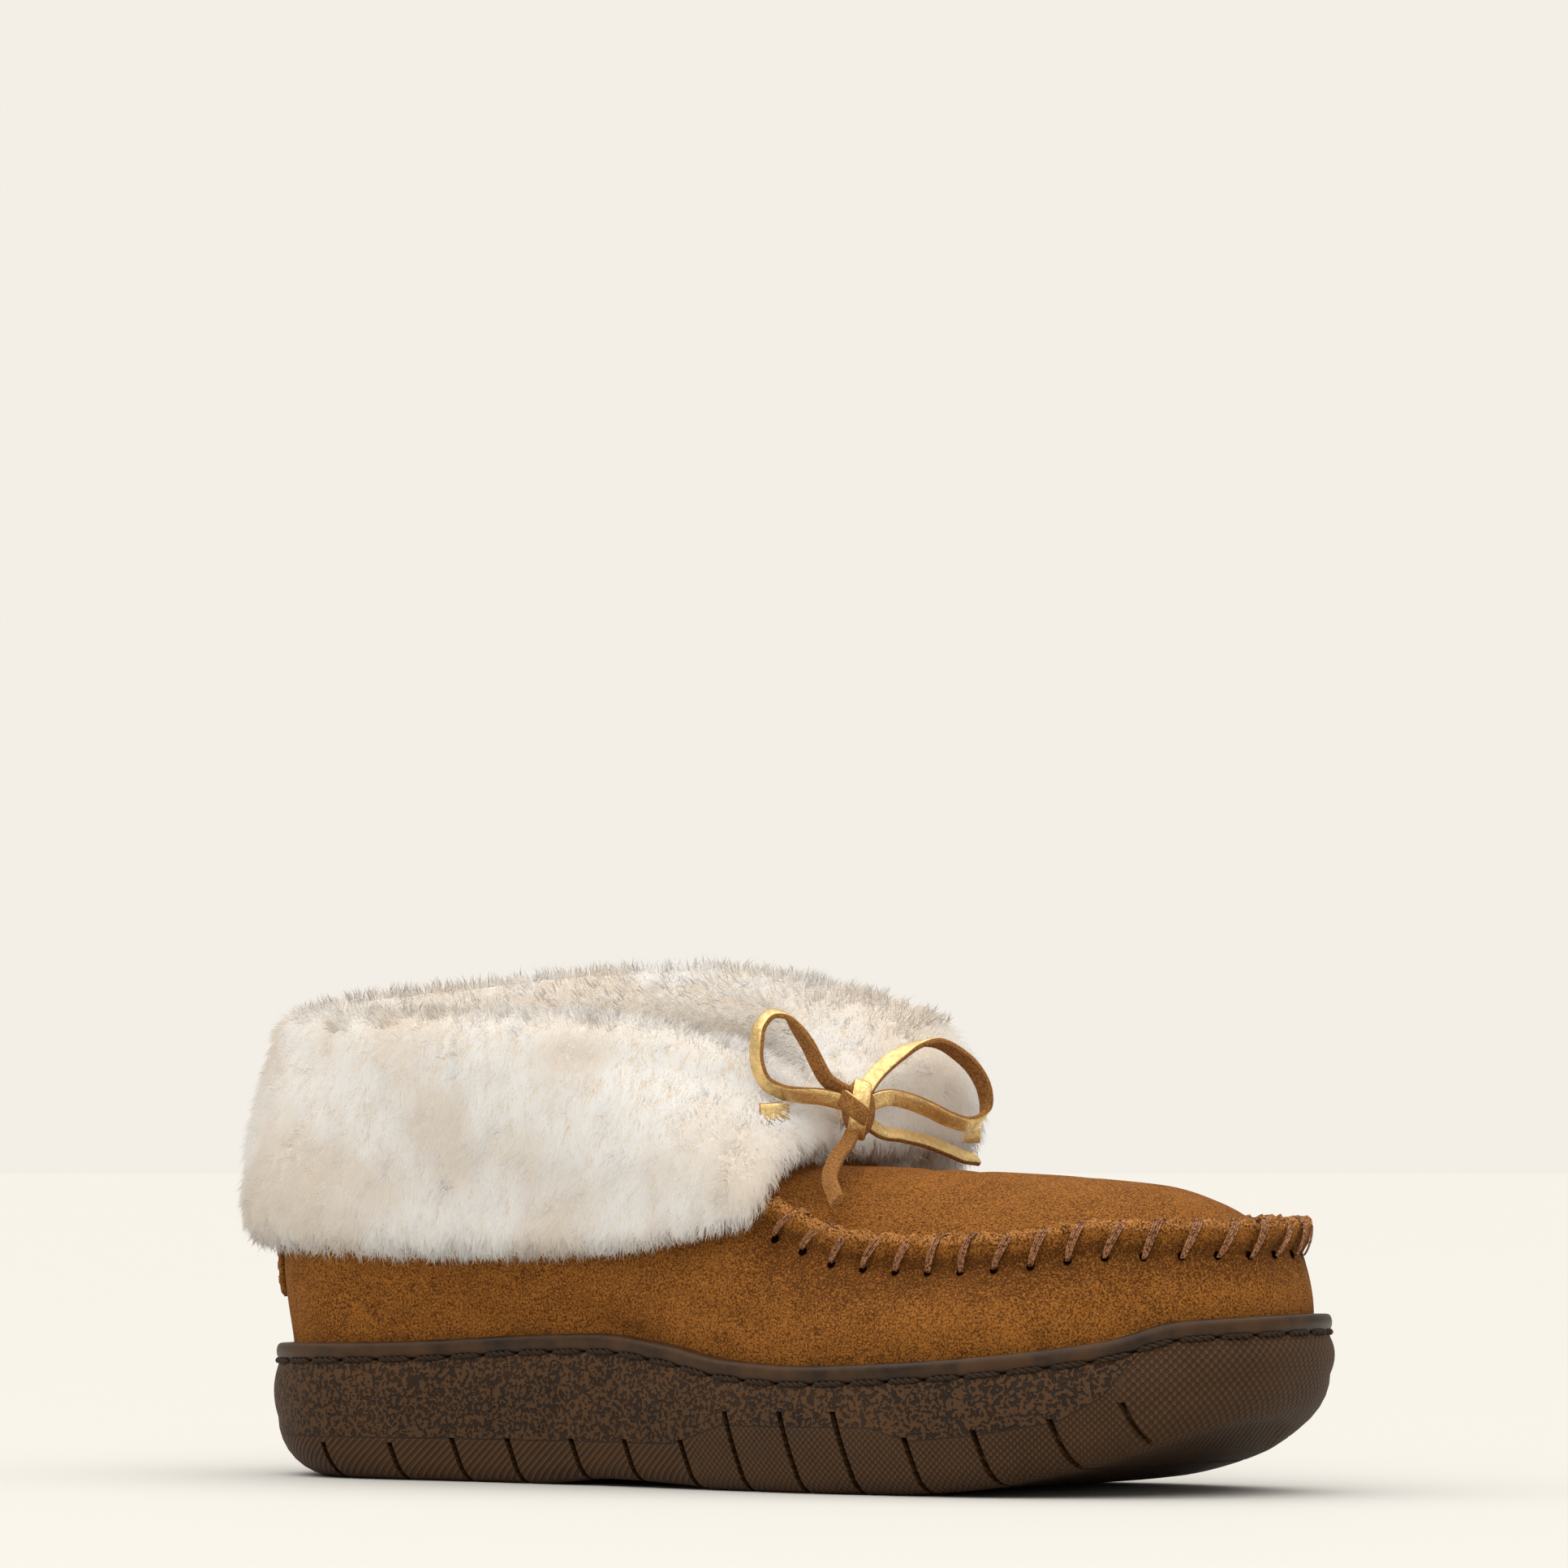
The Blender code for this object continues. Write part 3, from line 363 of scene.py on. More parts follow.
def dimmed(colour, share):
    """A linear colour at this share of its brightness, with alpha."""
    return tuple(part * share for part in colour[:3]) + (1.0,)


def mesh_from(name, points, faces):
    """A smooth mesh from arrays of points and of faces."""
    mesh = bpy.data.meshes.new(name)
    mesh.from_pydata(np.asarray(points).tolist(), [], [list(map(int, face)) for face in faces])
    mesh.validate()
    mesh.shade_smooth()
    return mesh


def outward(mesh, merged=True):
    """Merges doubled points, unless told not to, and turns all faces out."""
    made = bmesh.new()
    made.from_mesh(mesh)
    if merged:
        bmesh.ops.remove_doubles(made, verts=made.verts, dist=0.01 * MM)
    bmesh.ops.recalc_face_normals(made, faces=made.faces)
    made.to_mesh(mesh)
    made.free()
    return mesh


def closed_rings(name, last, rings):
    """A solid of rings of the last, from the first ring to the last one, closed at both."""
    n, tip = last.count, last.tip
    faces = sheet_faces(len(rings), n, True).tolist()
    for start in (0, (len(rings) - 1) * n):
        faces += [(start, start + 1, start + n - 1), (start + tip, start + tip + 1, start + tip - 1)]
        faces += [(start + k, start + k + 1, start + n - k - 1, start + n - k) for k in range(1, tip - 1)]
    return outward(mesh_from(name, np.concatenate(rings), faces))


def shown(name, data):
    made = bpy.data.objects.new(name, data)
    bpy.context.scene.collection.objects.link(made)
    return made


def add_piece(name, mesh, finishes, replaced=()):
    """A finished piece of the boot, riding on its one body."""
    made = shown(name, mesh)
    mesh.name = name
    for number, finish in enumerate(finishes):
        if number < len(mesh.materials):
            mesh.materials[number] = finish
        else:
            mesh.materials.append(finish)
    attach(made, "root")
    if replaced:
        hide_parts(*replaced)
    return made


def baked(made):
    """A plain mesh of the object as its modifiers leave it. The object is removed."""
    bpy.context.view_layer.update()
    graph = bpy.context.evaluated_depsgraph_get()
    mesh = bpy.data.meshes.new_from_object(made.evaluated_get(graph))
    bpy.data.objects.remove(made)
    return mesh


def sharpen(mesh, angle):
    """Flat shading across edges that turn by more than this angle."""
    made = bmesh.new()
    made.from_mesh(mesh)
    for edge in made.edges:
        edge.smooth = len(edge.link_faces) == 2 and edge.calc_face_angle(0.0) < angle
    made.to_mesh(mesh)
    made.free()


def add(tree, kind, *inputs, out=0, **settings):
    """Adds a node, sets its properties, and sets or links its open inputs in order.

    None leaves an input as it is. The result is one of the node's outputs, or the node if it has none.
    """
    made = tree.nodes.new(kind)
    for name, value in settings.items():
        setattr(made, name, value)
    for socket, value in zip([socket for socket in made.inputs if socket.enabled], inputs):
        if isinstance(value, bpy.types.NodeSocket):
            tree.links.new(value, socket)
        elif value is not None:
            socket.default_value = value
    given = [socket for socket in made.outputs if socket.enabled]
    return given[out] if given else made


def new_finish(name, **values):
    """A material with values set on its Principled shader, its tree and the shader."""
    made = bpy.data.materials.new(name)
    made.use_nodes = True
    shader = made.node_tree.nodes["Principled BSDF"]
    for key, value in values.items():
        shader.inputs[key.replace("_", " ")].default_value = value
    return made, made.node_tree, shader


def new_tree(name, **inputs):
    """A Geometry Nodes tree with these inputs after its geometry, and the sockets that give them."""
    tree = bpy.data.node_groups.new(name, "GeometryNodeTree")
    tree.interface.new_socket("Geometry", in_out="INPUT", socket_type="NodeSocketGeometry")
    for label, kind in inputs.items():
        tree.interface.new_socket(label.replace("_", " "), in_out="INPUT", socket_type="NodeSocket" + kind)
    tree.interface.new_socket("Geometry", in_out="OUTPUT", socket_type="NodeSocketGeometry")
    return tree, tree.nodes.new("NodeGroupInput").outputs


def grown(made, tree, **values):
    """The plain mesh that a tree makes from an object with these values. The object is removed."""
    grower = made.modifiers.new(tree.name, "NODES")
    grower.node_group = tree
    for item in tree.interface.items_tree:
        if item.in_out == "INPUT" and item.name.replace(" ", "_") in values:
            grower[item.identifier] = values[item.name.replace(" ", "_")]
    return baked(made)


def spaced(line, pitch, closed):
    """Places about this far apart along a line, and the way it runs at each."""
    if closed:
        line = np.concatenate([line, line[:1]])
    run = run_of(line)
    count = max(2, round(run[-1] / pitch))
    at = (np.arange(count) + (0.0 if closed else 0.5)) * run[-1] / count
    step = 0.4 * MM
    return along_line(at, run, line), unit(along_line(at + step, run, line) - along_line(at - step, run, line))


# Stage and camera

def view_direction():
    """From the boot towards the camera."""
    flat = math.cos(CAMERA_RISE)
    return Vector((math.sin(CAMERA_TURN) * flat, -math.cos(CAMERA_TURN) * flat, math.sin(CAMERA_RISE)))


def add_camera():
    """A long lens that puts the aim point on its pixel of the picture, with no shift."""
    focal = CAMERA_DISTANCE / MM * PIXELS_PER_MM
    camera = bpy.data.cameras.new("camera")
    camera.sensor_width = SENSOR_WIDTH
    camera.lens = SENSOR_WIDTH * focal / FRAME_PIXELS
    camera.clip_end = 40.0
    made = shown("camera", camera)
    away = view_direction()
    made.location = CAMERA_AIM + CAMERA_DISTANCE * away
    look = -away
    turn = math.atan2(look.y, look.x) + math.atan((AIM_PIXEL[0] - FRAME_PIXELS / 2) / focal)
    rise = math.asin(look.z) + math.atan((AIM_PIXEL[1] - FRAME_PIXELS / 2) / focal)
    axis = Vector((math.cos(turn) * math.cos(rise), math.sin(turn) * math.cos(rise), math.sin(rise)))
    made.rotation_euler = axis.to_track_quat("-Z", "Y").to_euler()
    bpy.context.scene.camera = made


def add_lamp(name, kind, place, aim, size, power):
    """A soft lamp: its size is an angle for a sun and a side for an area."""
    lamp = bpy.data.lights.new(name, kind)
    if kind == "SUN":
        lamp.angle = size
    else:
        lamp.size = size
    lamp.energy, lamp.color = power, LAMP_COLOUR
    made = shown(name, lamp)
    made.location = place
    made.rotation_euler = (Vector(aim) - Vector(place)).to_track_quat("-Z", "Y").to_euler()


def add_floor(colour):
    """Matte paper sweep, seen almost edge-on."""
    made, tree, shader = new_finish("matte_paper_floor", Roughness=0.75)
    where = add(tree, "ShaderNodeTexCoord", out=3)
    tone = add(tree, "ShaderNodeTexNoise", where, 1 / 0.6, 3.0)
    pale = tuple(min(1.0, part * 1.015) for part in colour[:3]) + (1.0,)
    tone = add(tree, "ShaderNodeMix", tone, (*colour[:3], 1.0), pale, data_type="RGBA")
    tree.links.new(tone, shader.inputs[0])
    away = view_direction()
    back = Vector((-away.x, -away.y, 0.0)).normalized()
    side = Vector((back.y, -back.x, 0.0))
    middle = Vector((0.1, 0.0, 0.0))
    corners = [middle + back * far + side * wide for far, wide in FLOOR_CORNERS]
    mesh = mesh_from("floor", [tuple(corner) for corner in corners], [(0, 1, 2, 3)])
    if mesh.polygons[0].normal.z < 0:
        mesh.flip_normals()
    mesh.materials.append(made)
    shown("floor", mesh)


# Lace

def smooth_route(route, spacing):
    """Rows of x, y and z in metres and of the last column as it is, on a smooth curve through the route."""
    rows = np.array(route, float) * np.array([MM, MM, MM, 1.0])
    run = run_of(rows[:, :3])
    slope = np.gradient(rows, run, axis=0)
    at = np.linspace(0.0, run[-1], max(4, round(run[-1] / spacing)) + 1)
    k = np.clip(np.searchsorted(run, at, side="right") - 1, 0, len(run) - 2)
    step = (run[k + 1] - run[k])[:, None]
    return on_curve(rows, slope, k, step, (at - run[k])[:, None] / step)


def knot_seat(place):
    """Where a run that comes from a place meets the knot, as a row of a route."""
    middle = np.array(KNOT_PLACE)
    radii = np.array([KNOT_WIDTH, KNOT_WIDTH, KNOT_HEIGHT]) / 2
    away = np.array(place[:3]) - middle
    low, high = 0.0, np.linalg.norm(away) * radii.max()
    for _ in range(50):
        share = (low + high) / 2
        if np.linalg.norm(radii * away / (share + radii ** 2)) > 1:
            low = share
        else:
            high = share
    nearest = radii ** 2 * away / (low + radii ** 2)
    return (*(middle + nearest * 0.8), place[3])


def lace_route(name):
    """The rows of a run, with its ends drawn in under the knot where it leaves or reaches it."""
    route = list(LACE_ROUTES[name])
    if name != "lace_bar":
        route.insert(0, knot_seat(route[0]))
    if name.startswith("bow_loop"):
        route.append(knot_seat(route[-1]))
    return route


STRAP_SECTION = [
    (-0.50, 0.05), (-0.47, 0.36), (-0.40, 0.50), (-0.18, 0.56), (0.18, 0.56), (0.40, 0.50), (0.47, 0.36),
    (0.50, 0.05), (0.50, -0.25), (0.45, -0.46), (0.20, -0.50), (-0.20, -0.50), (-0.45, -0.46), (-0.50, -0.25),
]
GOLD_SIDES = range(1, 6)


def strap_mesh(name, places, gold, width, thick, closed=False):
    """A flat strap along places, with its gold face looking the way given at each place."""
    if closed:
        way = unit(np.roll(places, -1, 0) - np.roll(places, 1, 0))
    else:
        way = unit(np.gradient(places, axis=0))
    gold = unit(gold - (gold * way).sum(1)[:, None] * way)
    side = np.cross(way, gold)
    size, count = len(STRAP_SECTION), len(places)
    points = np.stack([
        places + side * across * width + gold * out * thick for across, out in STRAP_SECTION
    ], 1).reshape(-1, 3)
    faces = sheet_faces(count, size, True).tolist()
    if closed:
        faces += band((count - 1) * size, 0, size).tolist()
    else:
        faces += [list(range(size))[::-1], list(range((count - 1) * size, count * size))]
    mesh = mesh_from(name, points, faces)
    for number, face in enumerate(mesh.polygons):
        on_side = len(face.vertices) == 4 and number % size in GOLD_SIDES
        face.material_index = 0 if on_side else 1
    sharpen(mesh, math.radians(40))
    return mesh


def run_of_lace(name, width, thick):
    """The strap of one run and the places that it follows."""
    line = smooth_route(lace_route(name), 0.8 * MM)
    places, look = line[:, :3], np.radians(line[:, 3])
    way = unit(np.gradient(places, axis=0))
    view = np.array(view_direction())
    toward = unit(view - (way @ view)[:, None] * way)
    gold = toward * np.cos(look)[:, None] + np.cross(way, toward) * np.sin(look)[:, None]
    return strap_mesh(name, places, gold, width, thick), places


def knot_wrap(name, across, up, shift, width, thick):
    """One turn of the strap round the knot's core, in the plane of two directions."""
    radii = np.array([KNOT_WIDTH, KNOT_WIDTH, KNOT_HEIGHT]) / 2 * MM
    turn = np.linspace(0, 2 * math.pi, 56, endpoint=False)[:, None]
    away = unit(np.array(across, float)) * np.cos(turn) + unit(np.array(up, float)) * np.sin(turn)
    reach = 1 / np.linalg.norm(away / radii, axis=1)[:, None]
    places = np.array(KNOT_PLACE) * MM + away * (reach - 0.35 * thick) + np.array(shift) * MM
    return strap_mesh(name, places, unit(away / radii ** 2), width, thick, closed=True)


def gold_leather(colour):
    """Foiled leather: a bright metal-coloured coat over a fine grain, with a net of fine cracks and worn patches all
    over.
    """
    made, tree, shader = new_finish(
        "gold_foiled_leather", Metallic=0.85, Roughness=0.34, Coat_Weight=0.15, Coat_Roughness=0.25,
    )
    where = add(tree, "ShaderNodeTexCoord", out=3)
    cracks = add(tree, "ShaderNodeTexVoronoi", where, 1 / (0.9 * MM), feature="DISTANCE_TO_EDGE")
    cracks = add(tree, "ShaderNodeMapRange", cracks, 0.0, 0.12, interpolation_type="SMOOTHSTEP")
    wear = add(tree, "ShaderNodeTexNoise", where, 1 / (2.2 * MM), 4.0, 0.6)
    wear = add(tree, "ShaderNodeMapRange", wear, 0.30, 0.62, interpolation_type="SMOOTHSTEP")
    tone = add(tree, "ShaderNodeMath", cracks, 0.35, 0.0, operation="MULTIPLY_ADD")
    tone = add(tree, "ShaderNodeMath", wear, 0.65, tone, operation="MULTIPLY_ADD")
    shade = add(tree, "ShaderNodeMix", tone, dimmed(colour, 0.55), (*colour[:3], 1.0), data_type="RGBA")
    tree.links.new(shade, shader.inputs["Base Color"])
    rough = add(tree, "ShaderNodeMapRange", wear, 0.0, 1.0, 0.5, 0.28)
    tree.links.new(rough, shader.inputs["Roughness"])
    bump = add(tree, "ShaderNodeBump", 0.8, 0.12 * MM, None, tone)
    tree.links.new(bump, shader.inputs["Normal"])
    return made


def suede(name, dark, light, nap):
    """Napped leather: matte, with a short pile that lies in soft patches and catches light at its rim.

    It is darker on the wall below the raised seam, as much as a point attribute gives there: painted shade.
    """
    made, tree, shader = new_finish(
        name, Roughness=0.92, Sheen_Weight=0.16, Sheen_Roughness=0.42, Specular_IOR_Level=0.12,
    )
    shader.inputs["Sheen Tint"].default_value = (*light[:3], 1.0)
    where = add(tree, "ShaderNodeTexCoord", out=3)
    fibre = add(tree, "ShaderNodeTexNoise", where, 1 / (0.46 * MM), 2.0, 0.6)
    patch = add(tree, "ShaderNodeTexNoise", where, 1 / (13 * MM), 4.0, 0.6, None, 0.8)
    brushed = add(tree, "ShaderNodeTexNoise", where, 1 / (3.2 * MM), 3.0, 0.6, None, 1.2)
    tone = add(tree, "ShaderNodeMath", fibre, 0.78, 0.0, operation="MULTIPLY_ADD")
    tone = add(tree, "ShaderNodeMath", patch, 0.12, tone, operation="MULTIPLY_ADD")
    tone = add(tree, "ShaderNodeMath", brushed, 0.1, tone, operation="MULTIPLY_ADD")
    # Painted shade: the suede is drawn darker on the wall below the raised seam.
    painted_seam_shade = add(tree, "ShaderNodeAttribute", attribute_name="painted_seam_shade", out=2)
    tone = add(tree, "ShaderNodeMath", painted_seam_shade, -0.08, tone, operation="MULTIPLY_ADD")
    tone = add(tree, "ShaderNodeMapRange", tone, 0.40, 0.60)
    shade = add(tree, "ShaderNodeMix", tone, (*dark[:3], 1.0), (*light[:3], 1.0), data_type="RGBA")
    tree.links.new(shade, shader.inputs["Base Color"])
    pile = add(tree, "ShaderNodeMath", brushed, 0.5, fibre, operation="MULTIPLY_ADD")
    bump = add(tree, "ShaderNodeBump", 0.9, nap, None, pile)
    tree.links.new(bump, shader.inputs["Normal"])
    return made


def make_lace(width, thick, gold, brown):
    finishes = [gold_leather(gold), suede("lace_suede_back", dimmed(brown, 0.45), brown, 0.2 * MM)]
    pieces, paths = {}, {}
    for name in LACE_ROUTES:
        mesh, paths[name] = run_of_lace(name, width, thick)
        pieces[name] = add_piece("strap_" + name, mesh, finishes, (name,))
    away = np.array(view_direction())
    over = knot_wrap("knot_over", away, (0.1, 0.1, 1.0), (0.0, 0.4, 0.0), width * 1.1, thick)
    slant = knot_wrap("knot_slant", away, (-0.75, -0.55, 0.8), (-0.4, -1.2, 0.3), width * 1.05, thick)
    core = bmesh.new()
    bmesh.ops.create_uvsphere(core, u_segments=28, v_segments=18, radius=0.5)
    for place in core.verts:
        place.co = [p * size * MM + c * MM for p, size, c in zip(
            place.co, (KNOT_WIDTH, KNOT_WIDTH, KNOT_HEIGHT), KNOT_PLACE)]
    mesh = bpy.data.meshes.new("knot_core")
    core.to_mesh(mesh)
    core.free()
    mesh.shade_smooth()
    knot = add_piece("strap_knot_core", mesh, finishes[1:], ("bow_knot",))
    wraps = [
        add_piece("strap_knot_over", over, finishes),
        add_piece("strap_knot_slant", slant, finishes[::-1]),
    ]


# Outsole

def sole_mesh(last):
    """The cup sole of the solid with its edges rounded finely."""
    bottom, top, floor = sole_bottom(last), sole_top(last), cup_floor(last)
    rounding = EDGE_ROUND * last.column(SOLE, "rounding")
    rings = [
        last.ring(rounding * (1 - math.sin(turn)), bottom + rounding * (1 - math.cos(turn)))
        for turn in np.linspace(0, math.pi / 2, 9)
    ]
    for up in np.linspace(0, 1, 11)[1:]:
        inset = -4 * SOLE_BULGE * up * (1 - up)
        rings.append(last.ring(inset, mix(bottom + rounding, top - RIM_BEVEL, up)))
    for turn in np.linspace(0, math.pi / 2, 5)[1:]:
        rings.append(last.ring(RIM_BEVEL * (1 - math.cos(turn)), top - RIM_BEVEL * (1 - math.sin(turn))))
    rings.append(last.ring(RIM_WIDTH, top))
    rings.append(last.ring(RIM_WIDTH + LEATHER_SLACK, floor))
    return closed_rings("outsole_body", last, rings)


def sipe_blades(last):
    """U-shaped blades that cut the sides and the underside at each row of the tread."""
    points, faces = [], []
    for along, reach in zip(SIPES["along"], SIPES["reach"]):
        k = int(np.argmin(np.abs(last.along[:last.tip] - along)))
        bottom, rounding = sole_bottom(last)[k], EDGE_ROUND * last.column(SOLE, "rounding")[k]
        x, outer = last.plan[k]
        inner = last.plan[last.count - k][1]
        top, away = SOLE_HEIGHT * reach, SIPE_REACH
        flank = bottom + max(rounding, SIPE_DEPTH)
        blade = [
            (outer - away, top), (outer - away, bottom - away),
            (inner + away, bottom - away), (inner + away, top),
            (inner - SIPE_DEPTH, top), (inner - SIPE_DEPTH, flank),
            (inner - SIPE_DEPTH - rounding * 0.8, bottom + SIPE_DEPTH),
            (outer + SIPE_DEPTH + rounding * 0.8, bottom + SIPE_DEPTH),
            (outer + SIPE_DEPTH, flank), (outer + SIPE_DEPTH, top),
        ]
        start, n = len(points), len(blade)
        for half in (-0.5, 0.5):
            points += [(x + SIPE_LEAN * (top - z) + half * SIPE_WIDTH, y, z) for y, z in blade]
        faces += list(band(start, start + n, n))
        faces += [tuple(range(start, start + n)), tuple(range(start + n, start + 2 * n))]
    return outward(mesh_from("sipe_blades", points, faces))


def map_round_sole(mesh, last):
    """A UV map in metres: run round the edge and height on the sides, and plan on the underside."""
    points = np.empty(len(mesh.vertices) * 3)
    mesh.vertices.foreach_get("co", points)
    points = points.reshape(-1, 3)
    near = np.argmin(((points[:, None, :2] - last.plan[None, ::4]) ** 2).sum(2), 1) * 4
    way = unit(np.roll(last.plan, -1, 0) - np.roll(last.plan, 1, 0))
    run, total = last.run[near] + ((points[:, :2] - last.plan[near]) * way[near]).sum(1), last.run[-1]
    layer = mesh.uv_layers.new(name="sole")
    for face in mesh.polygons:
        corners = list(face.vertices)
        if abs(face.normal.z) > 0.8:
            places = points[corners][:, :2]
        else:
            around = run[corners]
            around = np.where(around.max() - around > total / 2, around + total, around)
            places = np.stack([around, points[corners][:, 2]], 1)
        for loop, place in zip(face.loop_indices, places):
            layer.uv[loop].vector = place


# Line between the worm grain above and the lug panels below: shares of the sole's length and of the
# line's greatest height.
TREAD_LINE_TOP = 1.6 * SOLE_HEIGHT
TREAD_LINE = [
    (0.000, 0.212), (0.100, 0.212), (0.490, 0.225), (0.545, 0.325), (0.700, 0.331), (0.735, 0.269),
    (0.800, 0.306), (0.865, 0.375), (0.900, 0.500), (0.930, 0.781), (1.000, 1.000),
]


def moulded_rubber(dark, light):
    """Moulded foam rubber: matte brown, with worm grain above and ribbed and beaded lug panels below, and painted
    shade in the grooves of the grain.
    """
    made, tree, shader = new_finish("moulded_foam_rubber", Roughness=0.62, Specular_IOR_Level=0.2)
    where = add(tree, "ShaderNodeTexCoord", out=3)
    place = add(tree, "ShaderNodeSeparateXYZ", where).node.outputs
    flat = add(tree, "ShaderNodeSeparateXYZ", add(tree, "ShaderNodeUVMap", uv_map="sole")).node.outputs
    # Worm grain: ridges of a bent noise, about 1.2 mm from one to the next
    field = add(tree, "ShaderNodeTexNoise", where, 1 / (0.95 * MM), 0.0, None, None, 0.7)
    worm = add(tree, "ShaderNodeMapRange", field, 0.40, 0.53, 0.0, 0.85, interpolation_type="SMOOTHSTEP")
    # Ribs 1.35 mm apart that rise to the toe, cut across every 1.25 mm, and beads in a diagonal lattice
    patterns = []
    for first, second, share in (
        ((-0.65, 0.76, 1.35), (0.76, 0.65, 1.25), 0.12), ((0.71, 0.71, 1.1), (-0.71, 0.71, 1.1), 0.5),
        ((0.71, 0.71, 1.45), (-0.71, 0.71, 1.45), 0.5),
    ):
        waves = []
        for u, v, pitch in (first, second):
            turn = 2 * math.pi / (pitch * MM)
            phase = add(tree, "ShaderNodeMath", flat[0], u * turn, operation="MULTIPLY")
            phase = add(tree, "ShaderNodeMath", flat[1], v * turn, phase, operation="MULTIPLY_ADD")
            waves.append(add(tree, "ShaderNodeMath", phase, operation="SINE"))
        both = add(tree, "ShaderNodeMix", share, waves[0], waves[1])
        both = add(tree, "ShaderNodeMapRange", both, -0.6, 0.6, 0.3, 1.0, interpolation_type="SMOOTHSTEP")
        patterns.append(both)
    lug = patterns[0]
    for start, pattern in ((0.100, patterns[1]), (0.206, patterns[2])):
        share = add(tree, "ShaderNodeMapRange", place[0], start, start + 0.003)
        lug = add(tree, "ShaderNodeMix", share, lug, pattern)
    along = add(tree, "ShaderNodeMapRange", place[0], -HEEL_TO_ORIGIN, SOLE_LENGTH - HEEL_TO_ORIGIN)
    line = add(tree, "ShaderNodeFloatCurve", None, along)
    curve = line.node.mapping.curves[0]
    curve.points[0].location, curve.points[1].location = TREAD_LINE[0], TREAD_LINE[-1]
    for at in TREAD_LINE[1:-1]:
        curve.points.new(*at)
    for point in curve.points:
        point.handle_type = "VECTOR"
    line.node.mapping.update()
    line = add(tree, "ShaderNodeMath", line, TREAD_LINE_TOP, operation="MULTIPLY")
    edge = add(tree, "ShaderNodeMath", place[2], line, operation="SUBTRACT")
    above = add(tree, "ShaderNodeMapRange", edge, -0.15 * MM, 0.15 * MM)
    crease = add(tree, "ShaderNodeMath", edge, operation="ABSOLUTE")
    crease = add(tree, "ShaderNodeMapRange", crease, 0.0, 0.35 * MM, 0.4, 1.0)
    height = add(tree, "ShaderNodeMix", above, lug, worm)
    height = add(tree, "ShaderNodeMath", height, crease, operation="MULTIPLY")
    bump = add(tree, "ShaderNodeBump", 1.0, 0.55 * MM, None, height)
    tree.links.new(bump, shader.inputs["Normal"])
    dust = add(tree, "ShaderNodeTexNoise", where, 1 / (14 * MM), 3.0)
    # Painted shade: the tone follows the grain's height, so its grooves and the crease along the tread line come out
    # darker.
    tone = add(tree, "ShaderNodeMath", dust, 0.5, 0.0, operation="MULTIPLY_ADD")
    tone = add(tree, "ShaderNodeMath", height, 0.75, tone, operation="MULTIPLY_ADD")
    tone = add(tree, "ShaderNodeMapRange", tone, 0.1, 1.0)
    shade = add(tree, "ShaderNodeMix", tone, (*dark[:3], 1.0), (*light[:3], 1.0), data_type="RGBA")
    tree.links.new(shade, shader.inputs["Base Color"])
    return made


def make_outsole(dark, light):
    last = Last(FINENESS)
    body = shown("outsole_body", sole_mesh(last))
    blades = shown("outsole_blades", sipe_blades(last))
    cut = body.modifiers.new("tread", "BOOLEAN")
    cut.operation = "DIFFERENCE"
    cut.object = blades
    mesh = baked(body)
    bpy.data.objects.remove(blades)
    mesh.shade_smooth()
    sharpen(mesh, math.radians(38))
    map_round_sole(mesh, last)
    add_piece("sole_cup", mesh, [moulded_rubber(dark, light)], ("outsole",))


# Welt

WELT_EDGE = 0.9 * MM


def smooth_rubber(dark, light):
    """Moulded solid rubber band: smooth and dark brown, with a dull gloss and faint handling marks."""
    made, tree, shader = new_finish("smooth_solid_rubber", Roughness=0.42, Specular_IOR_Level=0.25)
    where = add(tree, "ShaderNodeTexCoord", out=3)
    haze = add(tree, "ShaderNodeTexNoise", where, 1 / (9 * MM), 4.0, 0.6)
    haze = add(tree, "ShaderNodeMapRange", haze, 0.3, 0.7, interpolation_type="SMOOTHSTEP")
    shade = add(tree, "ShaderNodeMix", haze, (*dark[:3], 1.0), (*light[:3], 1.0), data_type="RGBA")
    tree.links.new(shade, shader.inputs["Base Color"])
    tree.links.new(add(tree, "ShaderNodeMapRange", haze, 0.0, 1.0, 0.36, 0.52), shader.inputs["Roughness"])
    grit = add(tree, "ShaderNodeTexNoise", where, 1 / (1.6 * MM), 3.0)
    tree.links.new(add(tree, "ShaderNodeBump", 1.0, 0.06 * MM, None, grit), shader.inputs["Normal"])
    return made


def make_welt(dark, light):
    last = Last(FINENESS)
    low = sole_top(last) + CLEARANCE
    section = []
    for turn in np.linspace(-0.5, 0.5, 13) * math.pi:
        inset = WELT_EDGE - (WELT_EDGE + WELT_PROUD) * max(0.0, math.cos(turn)) ** 0.8
        section.append((inset, 0.5 + 0.5 * math.sin(turn)))
    section += [(WELT_WIDTH, 1.0), (WELT_WIDTH, 0.0)]
    rings = [last.ring(inset, low + WELT_HEIGHT * up) for inset, up in section]
    faces = sheet_faces(len(rings), last.count, True).tolist()
    faces += band((len(rings) - 1) * last.count, 0, last.count).tolist()
    mesh = outward(mesh_from("welt_band", np.concatenate(rings), faces))
    sharpen(mesh, math.radians(50))
    add_piece("welt_band", mesh, [smooth_rubber(dark, light)], ("welt",))


# Stitches

PLY_RADIUS = 0.42 * MM
PLY_TWIST_RADIUS = 0.32 * MM
PLY_TURNS = 2.2


